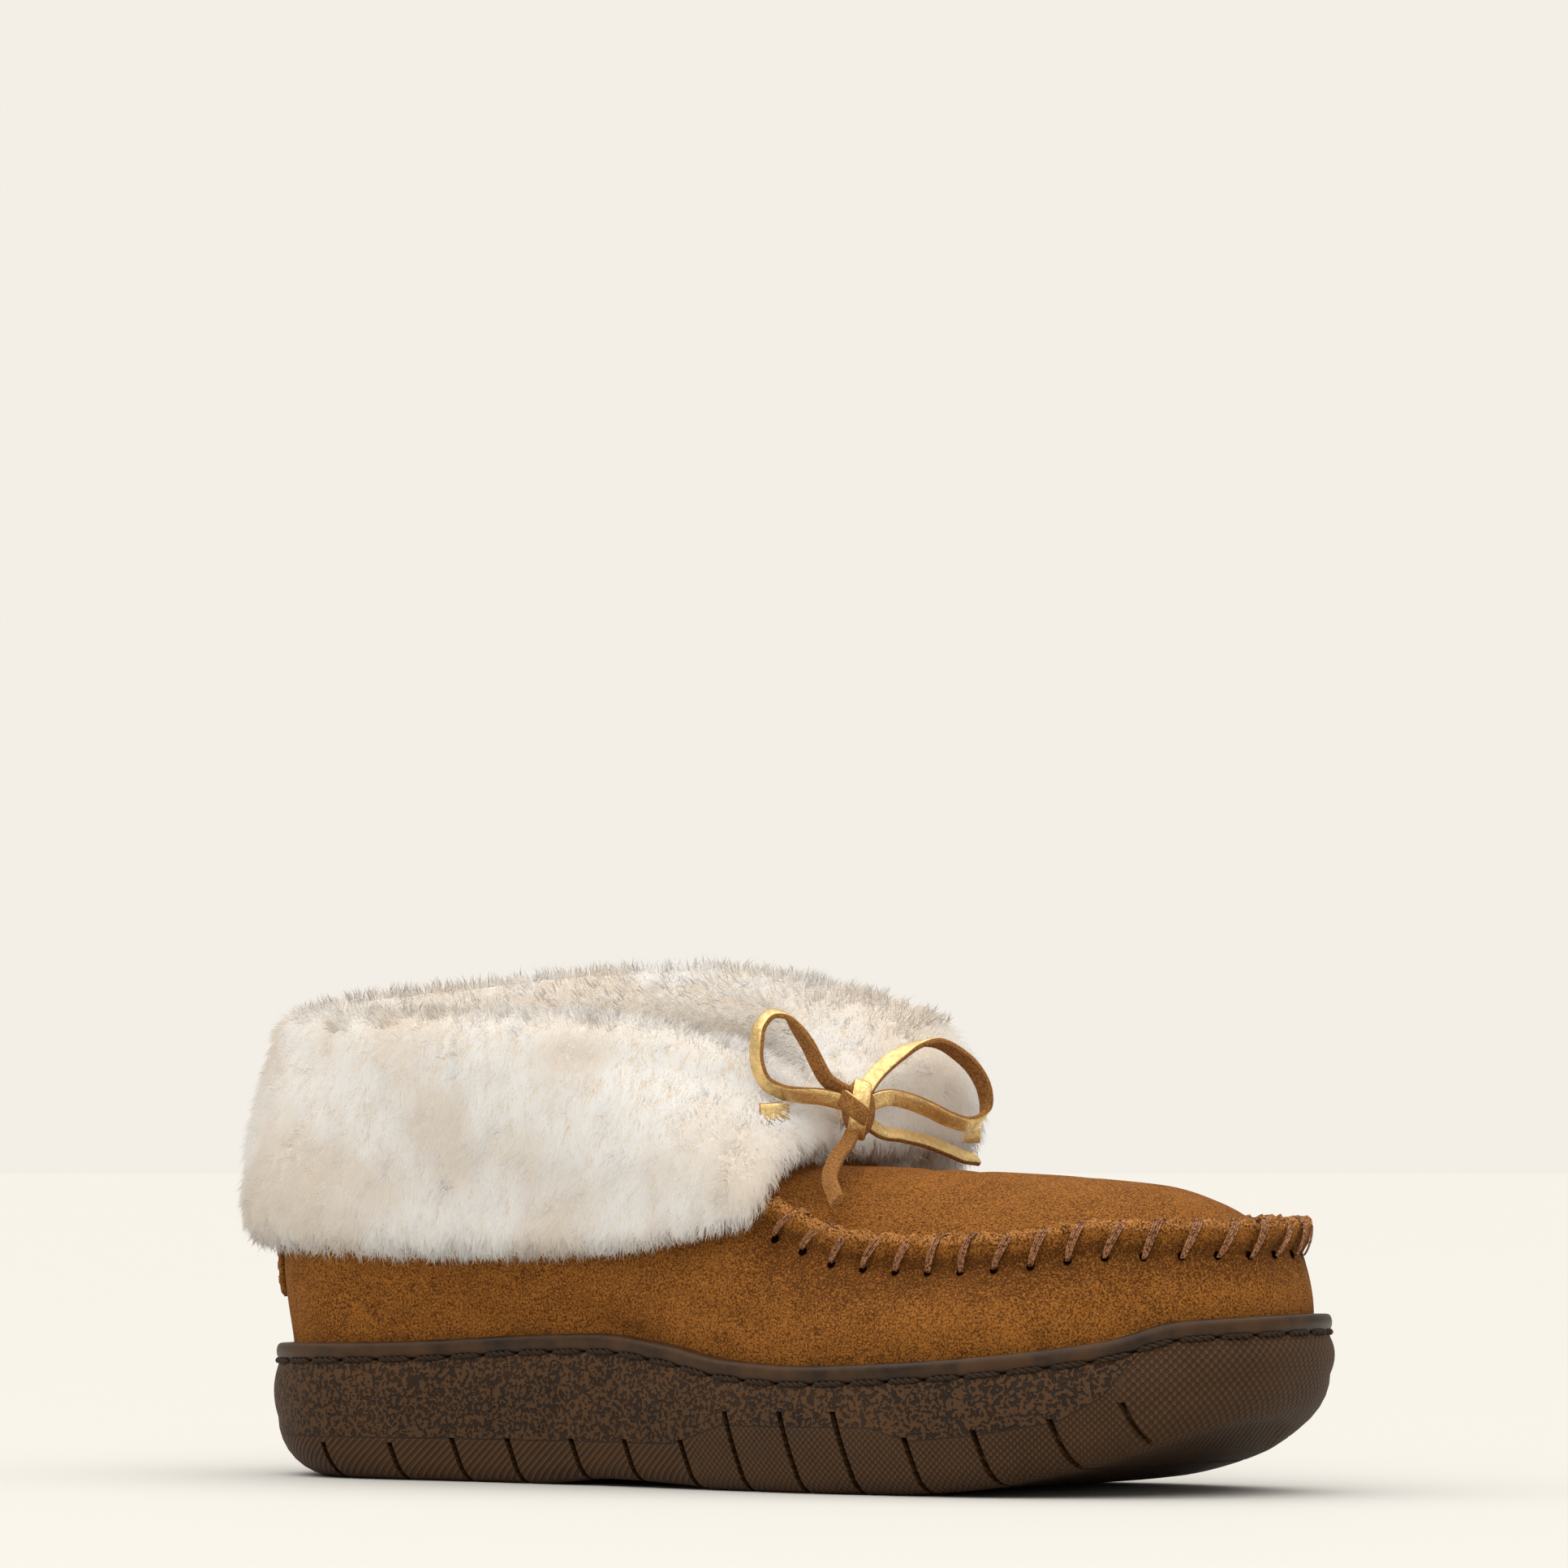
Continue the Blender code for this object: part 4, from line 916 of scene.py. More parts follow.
def row_tree():
    """Sets one shape at each point of the geometry, with X along "way" and Z along "up"."""
    tree, given = new_tree("stitch_row", Shape="Object", Loose_Turn="Float", Seed="Int", Material="Material")
    way = add(tree, "GeometryNodeInputNamedAttribute", "way", data_type="FLOAT_VECTOR")
    up = add(tree, "GeometryNodeInputNamedAttribute", "up", data_type="FLOAT_VECTOR")
    turn = add(tree, "FunctionNodeAxesToRotation", way, up, primary_axis="X", secondary_axis="Z")
    slack = add(tree, "ShaderNodeMath", given["Loose Turn"], -1.0, operation="MULTIPLY")
    loose = add(
        tree, "FunctionNodeRandomValue", slack, given["Loose Turn"], None, given["Seed"], data_type="FLOAT",
    )
    loose = add(tree, "FunctionNodeAxisAngleToRotation", (0.0, 1.0, 0.0), loose)
    turn = add(tree, "FunctionNodeRotateRotation", turn, loose, rotation_space="LOCAL")
    points = add(tree, "GeometryNodeMeshToPoints", given["Geometry"])
    shape = add(tree, "GeometryNodeObjectInfo", given["Shape"], None, out=-1)
    rows = add(tree, "GeometryNodeInstanceOnPoints", points, None, shape, None, None, turn)
    rows = add(tree, "GeometryNodeRealizeInstances", rows)
    rows = add(tree, "GeometryNodeSetMaterial", rows, None, given["Material"])
    add(tree, "NodeGroupOutput", rows)
    return tree


def set_in_row(name, shape, places, ways, ups, finish, loose=0.0):
    """A piece with a copy of the shape at each place."""
    guide = bpy.data.meshes.new(name + "_guide")
    guide.from_pydata(places.tolist(), [], [])
    for label, vectors in (("way", ways), ("up", ups)):
        layer = guide.attributes.new(label, "FLOAT_VECTOR", "POINT")
        layer.data.foreach_set("vector", np.ascontiguousarray(vectors, np.float32).ravel())
    pattern = shown(name + "_shape", shape)
    mesh = grown(
        shown(name + "_guide", guide), row_tree(), Shape=pattern, Loose_Turn=loose, Seed=3, Material=finish,
    )
    bpy.data.objects.remove(pattern)
    mesh.shade_smooth()
    return add_piece(name, mesh, [finish])


def threads_mesh(name, lines, radius, sides):
    """Round threads along lines of points, with their ends closed."""
    points, faces = [], []
    turns = np.arange(sides) * 2 * math.pi / sides
    for line in lines:
        line = np.array(line)
        way = unit(np.gradient(line, axis=0))
        first = unit(np.cross(way, [0.31, 0.87, 0.38]))
        second = np.cross(way, first)
        start, end = len(points), len(points) + len(line) * sides
        for at, a, b in zip(line, first, second):
            points += [at + radius * (a * math.cos(turn) + b * math.sin(turn)) for turn in turns]
        faces += (sheet_faces(len(line), sides, True) + start).tolist()
        faces += [list(range(start, start + sides)), list(range(end - sides, end))]
    return outward(mesh_from(name, points, faces))


def waxed_thread(name, dark, light):
    """Waxed cotton thread: fuzzy twisted plies, dull with wax, mottled between a dark and a light tone that stand in
    partly for shade between its strands and highlights on them.
    """
    made, tree, shader = new_finish(name, Roughness=0.7, Specular_IOR_Level=0.2)
    where = add(tree, "ShaderNodeTexCoord", out=3)
    # Painted highlight and shade: the noise mottles the thread between its two tones at random. This is partly its
    # own fuzz and partly light and shade on its strands.
    fuzz_and_painted_light = add(tree, "ShaderNodeTexNoise", where, 1 / (0.5 * MM), 4.0, 0.7)
    fuzz_and_painted_light = add(tree, "ShaderNodeMapRange", fuzz_and_painted_light, 0.38, 0.60)
    shade = add(tree, "ShaderNodeMix", fuzz_and_painted_light, (*dark[:3], 1.0), (*light[:3], 1.0), data_type="RGBA")
    tree.links.new(shade, shader.inputs["Base Color"])
    tree.links.new(add(tree, "ShaderNodeBump", 1.0, 0.08 * MM, None, fuzz_and_painted_light), shader.inputs["Normal"])
    return made


def make_welt_stitches(pitch, length, dark, light):
    """Lockstitches of two-ply thread in the groove between the sole and the welt."""
    last = Last(FINENESS)
    line = last.ring(0.05 * MM, sole_top(last) + 0.15 * MM)
    places, ways = spaced(line, pitch, True)
    turn = np.linspace(0, 1, 15)
    dip = 0.9 * MM * (np.abs(2 * turn - 1) ** 6)
    lines = []
    for phase in (0.0, math.pi):
        twist = 2 * math.pi * PLY_TURNS * turn + phase
        lines.append(np.stack([
            (turn - 0.5) * length, dip + PLY_TWIST_RADIUS * np.cos(twist), PLY_TWIST_RADIUS * np.sin(twist),
        ], 1))
    shape = threads_mesh("welt_stitch", lines, PLY_RADIUS, 6)
    ups = np.tile([0.0, 0.0, 1.0], (len(places), 1))
    finish = waxed_thread("waxed_dark_thread", dark, light)
    set_in_row("welt_stitches", shape, places, ways, ups, finish)


# Upper

# Seam profile from its root on the wall over to the apron: outward and up in millimetres.
SEAM_PROFILE = [
    (0.7, 1.2), (1.4, 3.0), (1.8, 4.6), (1.7, 5.7), (1.0, 6.4), (0.1, 6.2), (-0.5, 5.5), (-1.2, 6.4),
    (-1.9, 6.1), (-2.5, 4.7), (-3.0, 3.0), (-3.6, 1.24),
]
# Rows of the profile between which the suede's cut edge shows, and how much paler it is in each colour.
RAW_EDGE_ROWS = (3, 8)
RAW_EDGE_GAIN = (1.7, 1.9, 3.0)
# Waves of the ruffled crest: height in millimetres, waves to a stitch, and shift from row to row.
RUFFLES = [(0.30, 1.37, 0.07), (0.22, 2.31, 0.21), (0.16, 3.73, 0.37)]
# How far along the seam a stitch starts before its place and how far it leans, in stitch pitches.
STITCH_START = 0.22
STITCH_LEAN = 0.62
# One stitch from its hole in the wall over the crest: along, outward and up in millimetres.
SEAM_STITCH = [
    (0.0, 0.7, -1.3), (0.4, 1.5, -0.1), (1.4, 2.2, 2.1), (2.6, 2.5, 4.4), (3.6, 2.0, 6.1), (4.2, 0.3, 7.0),
    (4.7, -1.6, 6.7), (5.0, -2.9, 4.8), (5.3, -3.6, 2.4), (5.5, -3.4, 1.2),
]
# Strands of a stitch: place across it, and how far out and up each lies, before they fan out.
STITCH_STRANDS = [(-1.5, 0.0), (-0.5, 0.4), (0.5, 0.1), (1.5, 0.3)]
# Needle hole: half its width and height, and how far its rim stands out of the wall.
HOLE_WIDTH = 0.95 * MM
HOLE_HEIGHT = 1.05 * MM
HOLE_PROUD = 0.3 * MM

# Main creases of the wall: side, then x and z of both ends, depth and width in millimetres.
WALL_CREASES = [
    (-1, 92, 44, 118, 36, 0.9, 2.2), (-1, 118, 52, 112, 38, 0.8, 2.0), (-1, 131, 46, 128, 33, 0.7, 1.8),
    (-1, 150, 45, 147, 30, 0.8, 2.2), (-1, 166, 44, 166, 31, 0.6, 1.8), (-1, 184, 44, 189, 33, 0.7, 2.0),
    (-1, 60, 40, 84, 33, 1.3, 4.0), (-1, 20, 44, 44, 36, 1.5, 4.5), (-1, -8, 46, 10, 38, 1.1, 4.0),
    (-1, 203, 45, 206, 34, 1.0, 2.6),
    (1, 88, 46, 112, 36, 0.9, 2.4), (1, 121, 50, 117, 36, 0.8, 2.0), (1, 142, 46, 146, 32, 0.8, 2.2),
    (1, 163, 45, 160, 31, 0.6, 1.8), (1, 185, 44, 190, 33, 0.7, 2.0), (1, 30, 46, 58, 37, 0.6, 3.0),
]
# Main creases of the apron: x and y of both ends, depth and width in millimetres.
APRON_CREASES = [
    (134, -20, 141, 14, 0.9, 3.0), (146, -22, 149, 2, 0.6, 2.6), (152, 6, 158, 22, 0.6, 2.6),
    (126, -24, 132, -6, 0.7, 2.4), (170, -18, 176, 0, 0.4, 3.0),
]


def crease_depth(places, line):
    """How deep the crease is at each place, all on two axes and in millimetres."""
    start, end, depth, width = np.array(line[:2]), np.array(line[2:4]), line[4], line[5]
    run = end - start
    share = np.clip(((places - start) @ run) / (run @ run), 0.0, 1.0)
    away = np.linalg.norm(places - start - share[:, None] * run, axis=1)
    return depth * np.exp(-(away / width) ** 2) * (1 - (2 * share - 1) ** 4 * 0.4)


def wall_ring(last, up, out=0.0):
    """Ring of the side wall this far up from the welt to the seam's root, moved outward."""
    tuck = RIM_WIDTH + CLEARANCE
    welt_top = sole_top(last) + CLEARANCE + WELT_HEIGHT
    inset, height = shoulder(last)
    bulge = WALL_BULGE * last.column(SHOULDER, "bulge") * max(0.0, math.sin(math.pi * up)) ** 1.2
    return last.ring(mix(tuck, inset, up ** 1.4) - bulge - out, mix(welt_top, height, up))


def seam_share(last):
    """1 where the raised seam stands, falling to 0 at the throat corners."""
    start = last.plan[last.corner][0]
    return smooth(last.plan[:, 0], start, start + 9 * MM)


def seam_phase(last, pitch):
    """Stitches counted along the seam's root from the outer throat corner to each station."""
    run = run_of(wall_ring(last, 1.0))
    first, end = run[last.corner], run[last.count - last.corner]
    count = round((end - first) / pitch)
    return (run - first) / (end - first) * count, count


def gather(phase):
    """Bulge of the suede: 1 midway between the starts of two stitches, and 0 where a stitch starts."""
    return 0.5 + 0.5 * np.cos(2 * math.pi * (phase + STITCH_START))


def crest_ring(last, phase):
    """Rings over the seam from its root to the apron, puckered between the stitches."""
    inset, height = shoulder(last)
    share = seam_share(last)[:, None]
    root = wall_ring(last, 1.0, 1.3 * MM * gather(phase) * seam_share(last))
    rings = [root]
    for number, (out, up) in enumerate(SEAM_PROFILE):
        part = (number + 1) / len(SEAM_PROFILE)
        fade = 1 - part
        pucker = gather(phase - STITCH_LEAN * part) * seam_share(last)
        plain = last.ring(inset + 0.5 * MM * part, height + SEAM_WIDTH * part)
        ruffle = sum(
            size * np.sin(2 * math.pi * (phase * often + number * shift))
            for size, often, shift in RUFFLES
        ) * MM * math.sin(math.pi * part) * (phase != 0)
        folded = last.ring(
            inset - out * MM - 1.7 * MM * pucker * fade - 0.7 * ruffle,
            height + up * MM + 0.9 * MM * pucker * math.sin(math.pi * part) + ruffle,
        )
        rings.append(mix(plain, folded, share))
    return rings


def collar_turns(last, columns):
    """Angle round the collar of each point of the throat loop: 0 is the front, outer side below 0."""
    heel_x, corner_x = last.plan[0][0], last.plan[last.corner][0]
    stations = last.throat()
    share = (last.plan[stations][:, 0] - heel_x) / (corner_x - heel_x)
    x = mix(COLLAR_BACK, COLLAR_MIDDLE + COLLAR_REACH * math.cos(THROAT_TURN), share)
    turns = np.arccos(np.clip((x - COLLAR_MIDDLE) / COLLAR_REACH, -1, 1)) * np.where(stations > last.tip, 1, -1)
    return np.concatenate([turns, mix(-THROAT_TURN, THROAT_TURN, np.arange(1, columns) / columns)])


def cuff_column(column, turns):
    """A column of the cuff's table at each angle, read on the side that the angle is on."""
    around = 1 - np.abs(turns) / math.pi
    side = np.clip(turns / math.radians(20), -1, 1)
    return mix(read(CUFF, "outer_" + column, around), read(CUFF, "inner_" + column, around), (side + 1) / 2)


def collar_dip(turns):
    return COLLAR_DIP * np.clip(np.cos(turns), 0, 1) ** 4


def collar_ring(turns):
    """Top edge of the shaft: an oval that dips at the front and is higher on the inner side."""
    height = COLLAR_HEIGHT * cuff_column("top", turns) - collar_dip(turns)
    x, y = COLLAR_MIDDLE + COLLAR_REACH * np.cos(turns), COLLAR_WIDTH / 2 * np.sin(turns)
    return np.column_stack([x, y, height])


def apron_points(last, crest, stations, columns):
    """Points across the apron from each outer station to its partner on the inner side."""
    a, b = crest[stations][:, None], crest[last.count - stations][:, None]
    across = (np.arange(1, columns) / columns)[None, :, None]
    points = mix(a, b, across)
    middle = INSTEP_HEIGHT * read(CROWN, "height", last.along[stations])
    lift = np.maximum(0.0, middle - (a[:, 0, 2] + b[:, 0, 2]) / 2)
    points[:, :, 2] += lift[:, None] * (1 - np.abs(2 * across[:, :, 0] - 1) ** 2.2)
    return points


def shaft_points(last, base, columns, ups):
    """Rows of the shaft from the throat loop to the collar."""
    collar = collar_ring(collar_turns(last, columns))
    sections = {key: np.concatenate([[0.0], column]) for key, column in SHAFT.items()}
    rows = []
    for up in ups:
        row = mix(base, collar, read(sections, "across", up))
        row[:, 2] = mix(base[:, 2], collar[:, 2], up)
        rows.append(row)
    return rows


def upper_mesh(pitch):
    last = Last(SEAM_FINENESS)
    n, tip, corner, columns = last.count, last.tip, last.corner, APRON_COLUMNS * FINENESS
    phase, _ = seam_phase(last, pitch)
    pucker = gather(phase) * seam_share(last)
    far_pucker = gather(phase - STITCH_LEAN) * seam_share(last)
    tuck = RIM_WIDTH + CLEARANCE
    height = shoulder(last)[1] - sole_top(last) - CLEARANCE - WELT_HEIGHT
    rows = [last.ring(tuck + LEATHER_SLACK, cup_floor(last) + CLEARANCE), last.ring(tuck, sole_top(last))]
    wall_ups = np.linspace(0, 1, WALL_ROWS)[:-1]
    for up in wall_ups:
        fade = np.exp(-(1 - up) * height / (6 * MM))
        rows.append(wall_ring(last, up, 0.65 * MM * pucker * fade))
    wall_rows = len(rows)
    rows += crest_ring(last, phase)
    points = np.concatenate(rows)
    outs = np.tile(np.column_stack([last.normal, np.zeros(n)]), (len(rows), 1))
    for side, *line in WALL_CREASES:
        on_side = (np.tile(last.side, len(rows)) == side) & (np.arange(len(points)) >= 2 * n)
        points -= outs * (crease_depth(points[:, [0, 2]] / MM, line) * MM * on_side)[:, None]
    crest_start = (len(rows) - 1) * n
    crest = points[crest_start:]
    stations = np.arange(corner, tip)
    apron = apron_points(last, crest, stations, columns)
    edge = np.minimum(np.arange(1, columns), columns - np.arange(1, columns))[None, :] / columns
    width = np.linalg.norm(crest[stations] - crest[n - stations], axis=1)[:, None]
    near = np.exp(-edge * width / (5 * MM))
    outer_side = (np.arange(1, columns) < columns / 2)[None, :]
    bulge = np.where(outer_side, far_pucker[stations][:, None], far_pucker[n - stations][:, None])
    apron[:, :, 2] += 0.5 * MM * bulge * near
    flat = apron.reshape(-1, 3)
    for line in APRON_CREASES:
        flat[:, 2] -= crease_depth(flat[:, :2] / MM, line) * MM
    number = len(points) + np.arange(len(flat)).reshape(len(stations), columns - 1)
    grid = np.hstack([crest_start + stations[:, None], number, crest_start + n - stations[:, None]])
    faces = [sheet_faces(len(rows), n, True)]
    quads = np.stack([grid[:-1, :-1], grid[1:, :-1], grid[1:, 1:], grid[:-1, 1:]], -1).reshape(-1, 4)
    toe = [[grid[-1, k], crest_start + tip, grid[-1, k + 1]] for k in range(columns)]
    points = np.concatenate([points, flat])
    below = np.concatenate([crest_start + last.throat(), number[0]])
    ups = np.linspace(0, 1, SHAFT_ROWS)[1:]
    shaft = shaft_points(last, points[below], columns, ups)
    size = len(below)
    loops = [below] + [len(points) + size * k + np.arange(size) for k in range(len(ups))]
    points = np.concatenate([points] + shaft)
    tall = [
        np.stack([a, np.roll(a, -1), np.roll(b, -1), b], 1) for a, b in zip(loops[:-1], loops[1:])
    ]
    mesh = mesh_from("upper_skin", points, np.concatenate(faces + [quads] + tall).tolist() + toe)
    marks = np.zeros(len(mesh.polygons), np.int32)
    raw = [(wall_rows + row) * n for row in RAW_EDGE_ROWS]
    at_seam = np.tile(seam_share(last) > 0.3, RAW_EDGE_ROWS[1] - RAW_EDGE_ROWS[0])
    marks[raw[0]:raw[1]] = at_seam * 2
    mesh.polygons.foreach_set("material_index", marks)
    # Painted shade under the seam: 0 low on the wall, rising to 1 at the seam's root and its first crest row.
    painted_seam_shade = np.zeros((len(rows), n))
    painted_seam_shade[2:wall_rows] = smooth(wall_ups, 0.35, 0.95)[:, None]
    painted_seam_shade[wall_rows:wall_rows + 2] = 1.0
    painted_seam_shade = np.concatenate([(painted_seam_shade * seam_share(last)).ravel(), np.zeros(len(points) - painted_seam_shade.size)])
    mesh.attributes.new("painted_seam_shade", "FLOAT", "POINT").data.foreach_set("value", painted_seam_shade.astype(np.float32))
    return outward(mesh)


def fleece_lining(pale, warm):
    """Shorn wool pile on a knit back: matte and creamy, in soft knots about 3 mm across."""
    made, tree, shader = new_finish("shorn_wool_pile", Roughness=1.0, Sheen_Weight=0.2, Specular_IOR_Level=0.1)
    where = add(tree, "ShaderNodeTexCoord", out=3)
    knots = add(tree, "ShaderNodeTexVoronoi", where, 1 / (2.6 * MM), 1.0, 0.6)
    curl = add(tree, "ShaderNodeTexNoise", where, 1 / (1.1 * MM), 4.0, 0.65, None, 2.5)
    depth = add(tree, "ShaderNodeMath", knots, -0.6, curl, operation="MULTIPLY_ADD")
    tone = add(tree, "ShaderNodeMapRange", depth, -0.1, 0.6)
    shade = add(tree, "ShaderNodeMix", tone, (*warm[:3], 1.0), (*pale[:3], 1.0), data_type="RGBA")
    tree.links.new(shade, shader.inputs["Base Color"])
    tree.links.new(add(tree, "ShaderNodeBump", 0.6, 0.8 * MM, None, depth), shader.inputs["Normal"])
    return made


def make_upper(dark, light, nap, pitch, pale, warm):
    skin = shown("upper_skin", upper_mesh(pitch))
    wall = skin.modifiers.new("wall", "SOLIDIFY")
    wall.thickness = WALL - 0.2 * MM
    wall.offset = -1
    wall.material_offset = 1
    for _ in range(4):
        skin.data.materials.append(None)
    mesh = baked(skin)
    raw_light = tuple(min(1.0, part * gain) for part, gain in zip(light[:3], RAW_EDGE_GAIN))
    lining = fleece_lining(pale, warm)
    finishes = [
        suede("napped_suede", dark, light, nap), lining,
        suede("cut_suede_edge", dimmed(dark, 0.8), raw_light, 2 * nap), lining,
    ]
    add_piece("suede_upper", mesh, finishes, ("upper",))


def shadowed_hole(dark):
    """Inside of a needle hole in suede: the same leather, matte and almost black in its own shadow."""
    made, tree, shader = new_finish("shadowed_needle_hole", Roughness=1.0, Specular_IOR_Level=0.0)
    where = add(tree, "ShaderNodeTexCoord", out=3)
    grain = add(tree, "ShaderNodeTexNoise", where, 1 / (0.6 * MM))
    shade = add(tree, "ShaderNodeMix", grain, dimmed(dark, 0.08), dimmed(dark, 0.2), data_type="RGBA")
    tree.links.new(shade, shader.inputs["Base Color"])
    return made


def make_seam_stitches(pitch, thread, dark, light):
    """Whipstitches of flat multi-strand thread over the raised seam, and the holes that they pull open."""
    last = Last(SEAM_FINENESS)
    phase, count = seam_phase(last, pitch)
    root = wall_ring(last, 1.0)
    at = np.arange(count) + 0.5
    at = at[np.interp(at, phase, seam_share(last)) > 0.45]
    places = along_line(at, phase, root)
    ways = unit(along_line(at + 0.1, phase, root) - along_line(at - 0.1, phase, root))
    ups = np.tile([0.0, 0.0, 1.0], (len(places), 1))
    path = np.array(SEAM_STITCH) * MM * [1, -1, 1] - [STITCH_START * pitch, 0.4 * MM, 0]
    fine = np.linspace(0, len(path) - 1, 15)
    path = along_line(fine, np.arange(len(path)), path)
    fan = np.interp(fine, [0, 2, 5, 9], [0.4, 0.9, 1.25, 1.0])[:, None]
    lines = [path + fan * np.array([across * 2.2, -rise, rise]) * thread for across, rise in STITCH_STRANDS]
    shape = threads_mesh("seam_stitch", lines, thread, 5)
    finish = waxed_thread("waxed_brown_thread", dark, light)
    set_in_row("seam_stitches", shape, places, ways, ups, finish, math.radians(9))
    turn = np.arange(12) * math.pi / 6
    rim = np.stack([HOLE_WIDTH * np.cos(turn), 0 * turn - HOLE_PROUD, HOLE_HEIGHT * np.sin(turn)], 1)
    pit = rim.mean(0) + [0, 0.1 * MM, 0]
    hole = mesh_from("stitch_hole", np.vstack([rim, pit]), [(k, (k + 1) % 12, 12) for k in range(12)])
    low, high = (along_line(at - STITCH_START, phase, wall_ring(last, up)) for up in (0.93, 0.99))
    set_in_row("seam_holes", hole, low, ways, unit(high - low), shadowed_hole(dark))


# Heel tab and footbed

PATCH_STITCH_PITCH = 3.4 * MM
PATCH_STITCH_INSET = 3 * MM
# One stitch of the patch in millimetres: along, across and up from the suede.
PATCH_STITCH = [(-1.3, 0, -0.1), (-0.7, 0, 0.3), (0.7, 0, 0.3), (1.3, 0, -0.1)]
FOOTBED_ROUND = 1.5 * MM


def line_points(lines, heights):
    """Where each line from low to high, an array of rows by places, passes its height."""
    lines = np.asarray(lines)
    found = np.empty((lines.shape[1], 3))
    for k in range(lines.shape[1]):
        line = lines[:, k]
        found[k] = [np.interp(heights[k], line[:, 2], line[:, axis]) for axis in range(3)]
    return found


def make_heel_tab(dark, light, nap, thread_dark, thread_light):
    """Suede patch up the back of the heel, with a sewn line inside its edge."""
    last = Last(FINENESS)
    lines = np.array([wall_ring(last, up) for up in np.linspace(0, 1, 12)])
    reach = int(np.searchsorted(last.run, TAB_WIDTH / 2))
    stations = np.arange(-reach, reach + 1)
    outs = np.column_stack([last.normal[stations], np.zeros(len(stations))])
    high = CUFF_LOW_EDGE * CUFF["outer_low"][0] - 2 * SOFT_CLEARANCE
    rows = []
    across = np.abs(np.linspace(-1, 1, len(stations)))
    for level in np.linspace(TAB_LOW_EDGE, high, 14):
        at = line_points(lines[:, stations], np.full(len(stations), level))
        border = np.minimum((1 - across) * TAB_WIDTH / 2, level - TAB_LOW_EDGE)
        proud = CLEARANCE + TAB_THICK * (0.45 + 0.55 * smooth(border, 0.0, 1.2 * MM))
        rows.append(at + outs * proud[:, None])
    mesh = mesh_from("heel_patch", np.concatenate(rows), sheet_faces(len(rows), len(stations), False))
    if mesh.polygons[len(stations) // 2].normal.x > 0:
        mesh.flip_normals()
    skin = shown("heel_patch", mesh)
    wall = skin.modifiers.new("wall", "SOLIDIFY")
    wall.thickness = TAB_THICK * 0.8
    wall.offset = -1
    add_piece(
        "heel_patch", baked(skin), [suede("napped_suede_patch", dark, light, nap)], ("heel_tab",),
    )
    inset = max(1, round(PATCH_STITCH_INSET / (TAB_WIDTH / 2) * reach))
    left = np.array([row[inset] for row in rows[::-1]])
    bottom = rows[3][inset:-inset]
    right = np.array([row[-1 - inset] for row in rows])
    line = np.concatenate([left[:-3], bottom, right[3:]])
    places, ways = spaced(line, PATCH_STITCH_PITCH, False)
    normals = np.array([outs[np.argmin(np.abs(lines[5][stations][:, 1] - place[1]))] for place in places])
    shape = threads_mesh("patch_stitch", [np.array(PATCH_STITCH) * MM], 0.35 * MM, 6)
    finish = waxed_thread("waxed_patch_thread", thread_dark, thread_light)
    set_in_row("heel_patch_stitches", shape, places, ways, normals, finish)


def make_footbed(pale, warm):
    last = Last(FINENESS)
    low = cup_floor(last) + CLEARANCE
    edge = RIM_WIDTH + 2 * CLEARANCE + LEATHER_SLACK + WALL + CLEARANCE
    rings = [last.ring(edge, low)]
    for turn in np.linspace(0, math.pi / 2, 5):
        rings.append(last.ring(
            edge + FOOTBED_ROUND * (1 - math.cos(turn)),
            low + INSOLE_THICK - FOOTBED_ROUND * (1 - math.sin(turn)),
        ))
    mesh = closed_rings("pile_footbed", last, rings)
    add_piece("pile_footbed", mesh, [fleece_lining(pale, warm)], ("insole",))


# Fleece cuff

# Places where the fleece is shorter or longer: x, y, z and radius in millimetres, and the length there.
PILE_SPOTS = [
    (114.0, -32.5, 86.0, 6, 1.5), (130.6, 31.0, 79.0, 6, 0.4), (110.0, 36.0, 80.0, 26, 1.3),
]
# How far inside the solid the cuff's skin stays at its side, low edge and top: room for its fleece.
PILE_ROOM = 1.4 * MM
PILE_LOW_GAP = 0.8 * MM
PILE_TOP_GAP = 1.0 * MM
# Sectors of the fleece, and the angles round the collar that part them. What lies before the first
# angle is heel too.
SECTORS = {"outer": 1, "front": 2, "inner": 3, "heel": 4, "lining": 5}
SECTOR_EDGES = (-115, -45, 45, 115)
BARE = -1
# A strand from root to tip: across, forward and up, and half its width there, in shares of its height.
STRAND = [(0.0, 0.0, 0.0, 0.034), (0.05, 0.12, 0.52, 0.034), (0.0, -0.06, 1.0, 0.0)]
FLEECE_SEED = 11


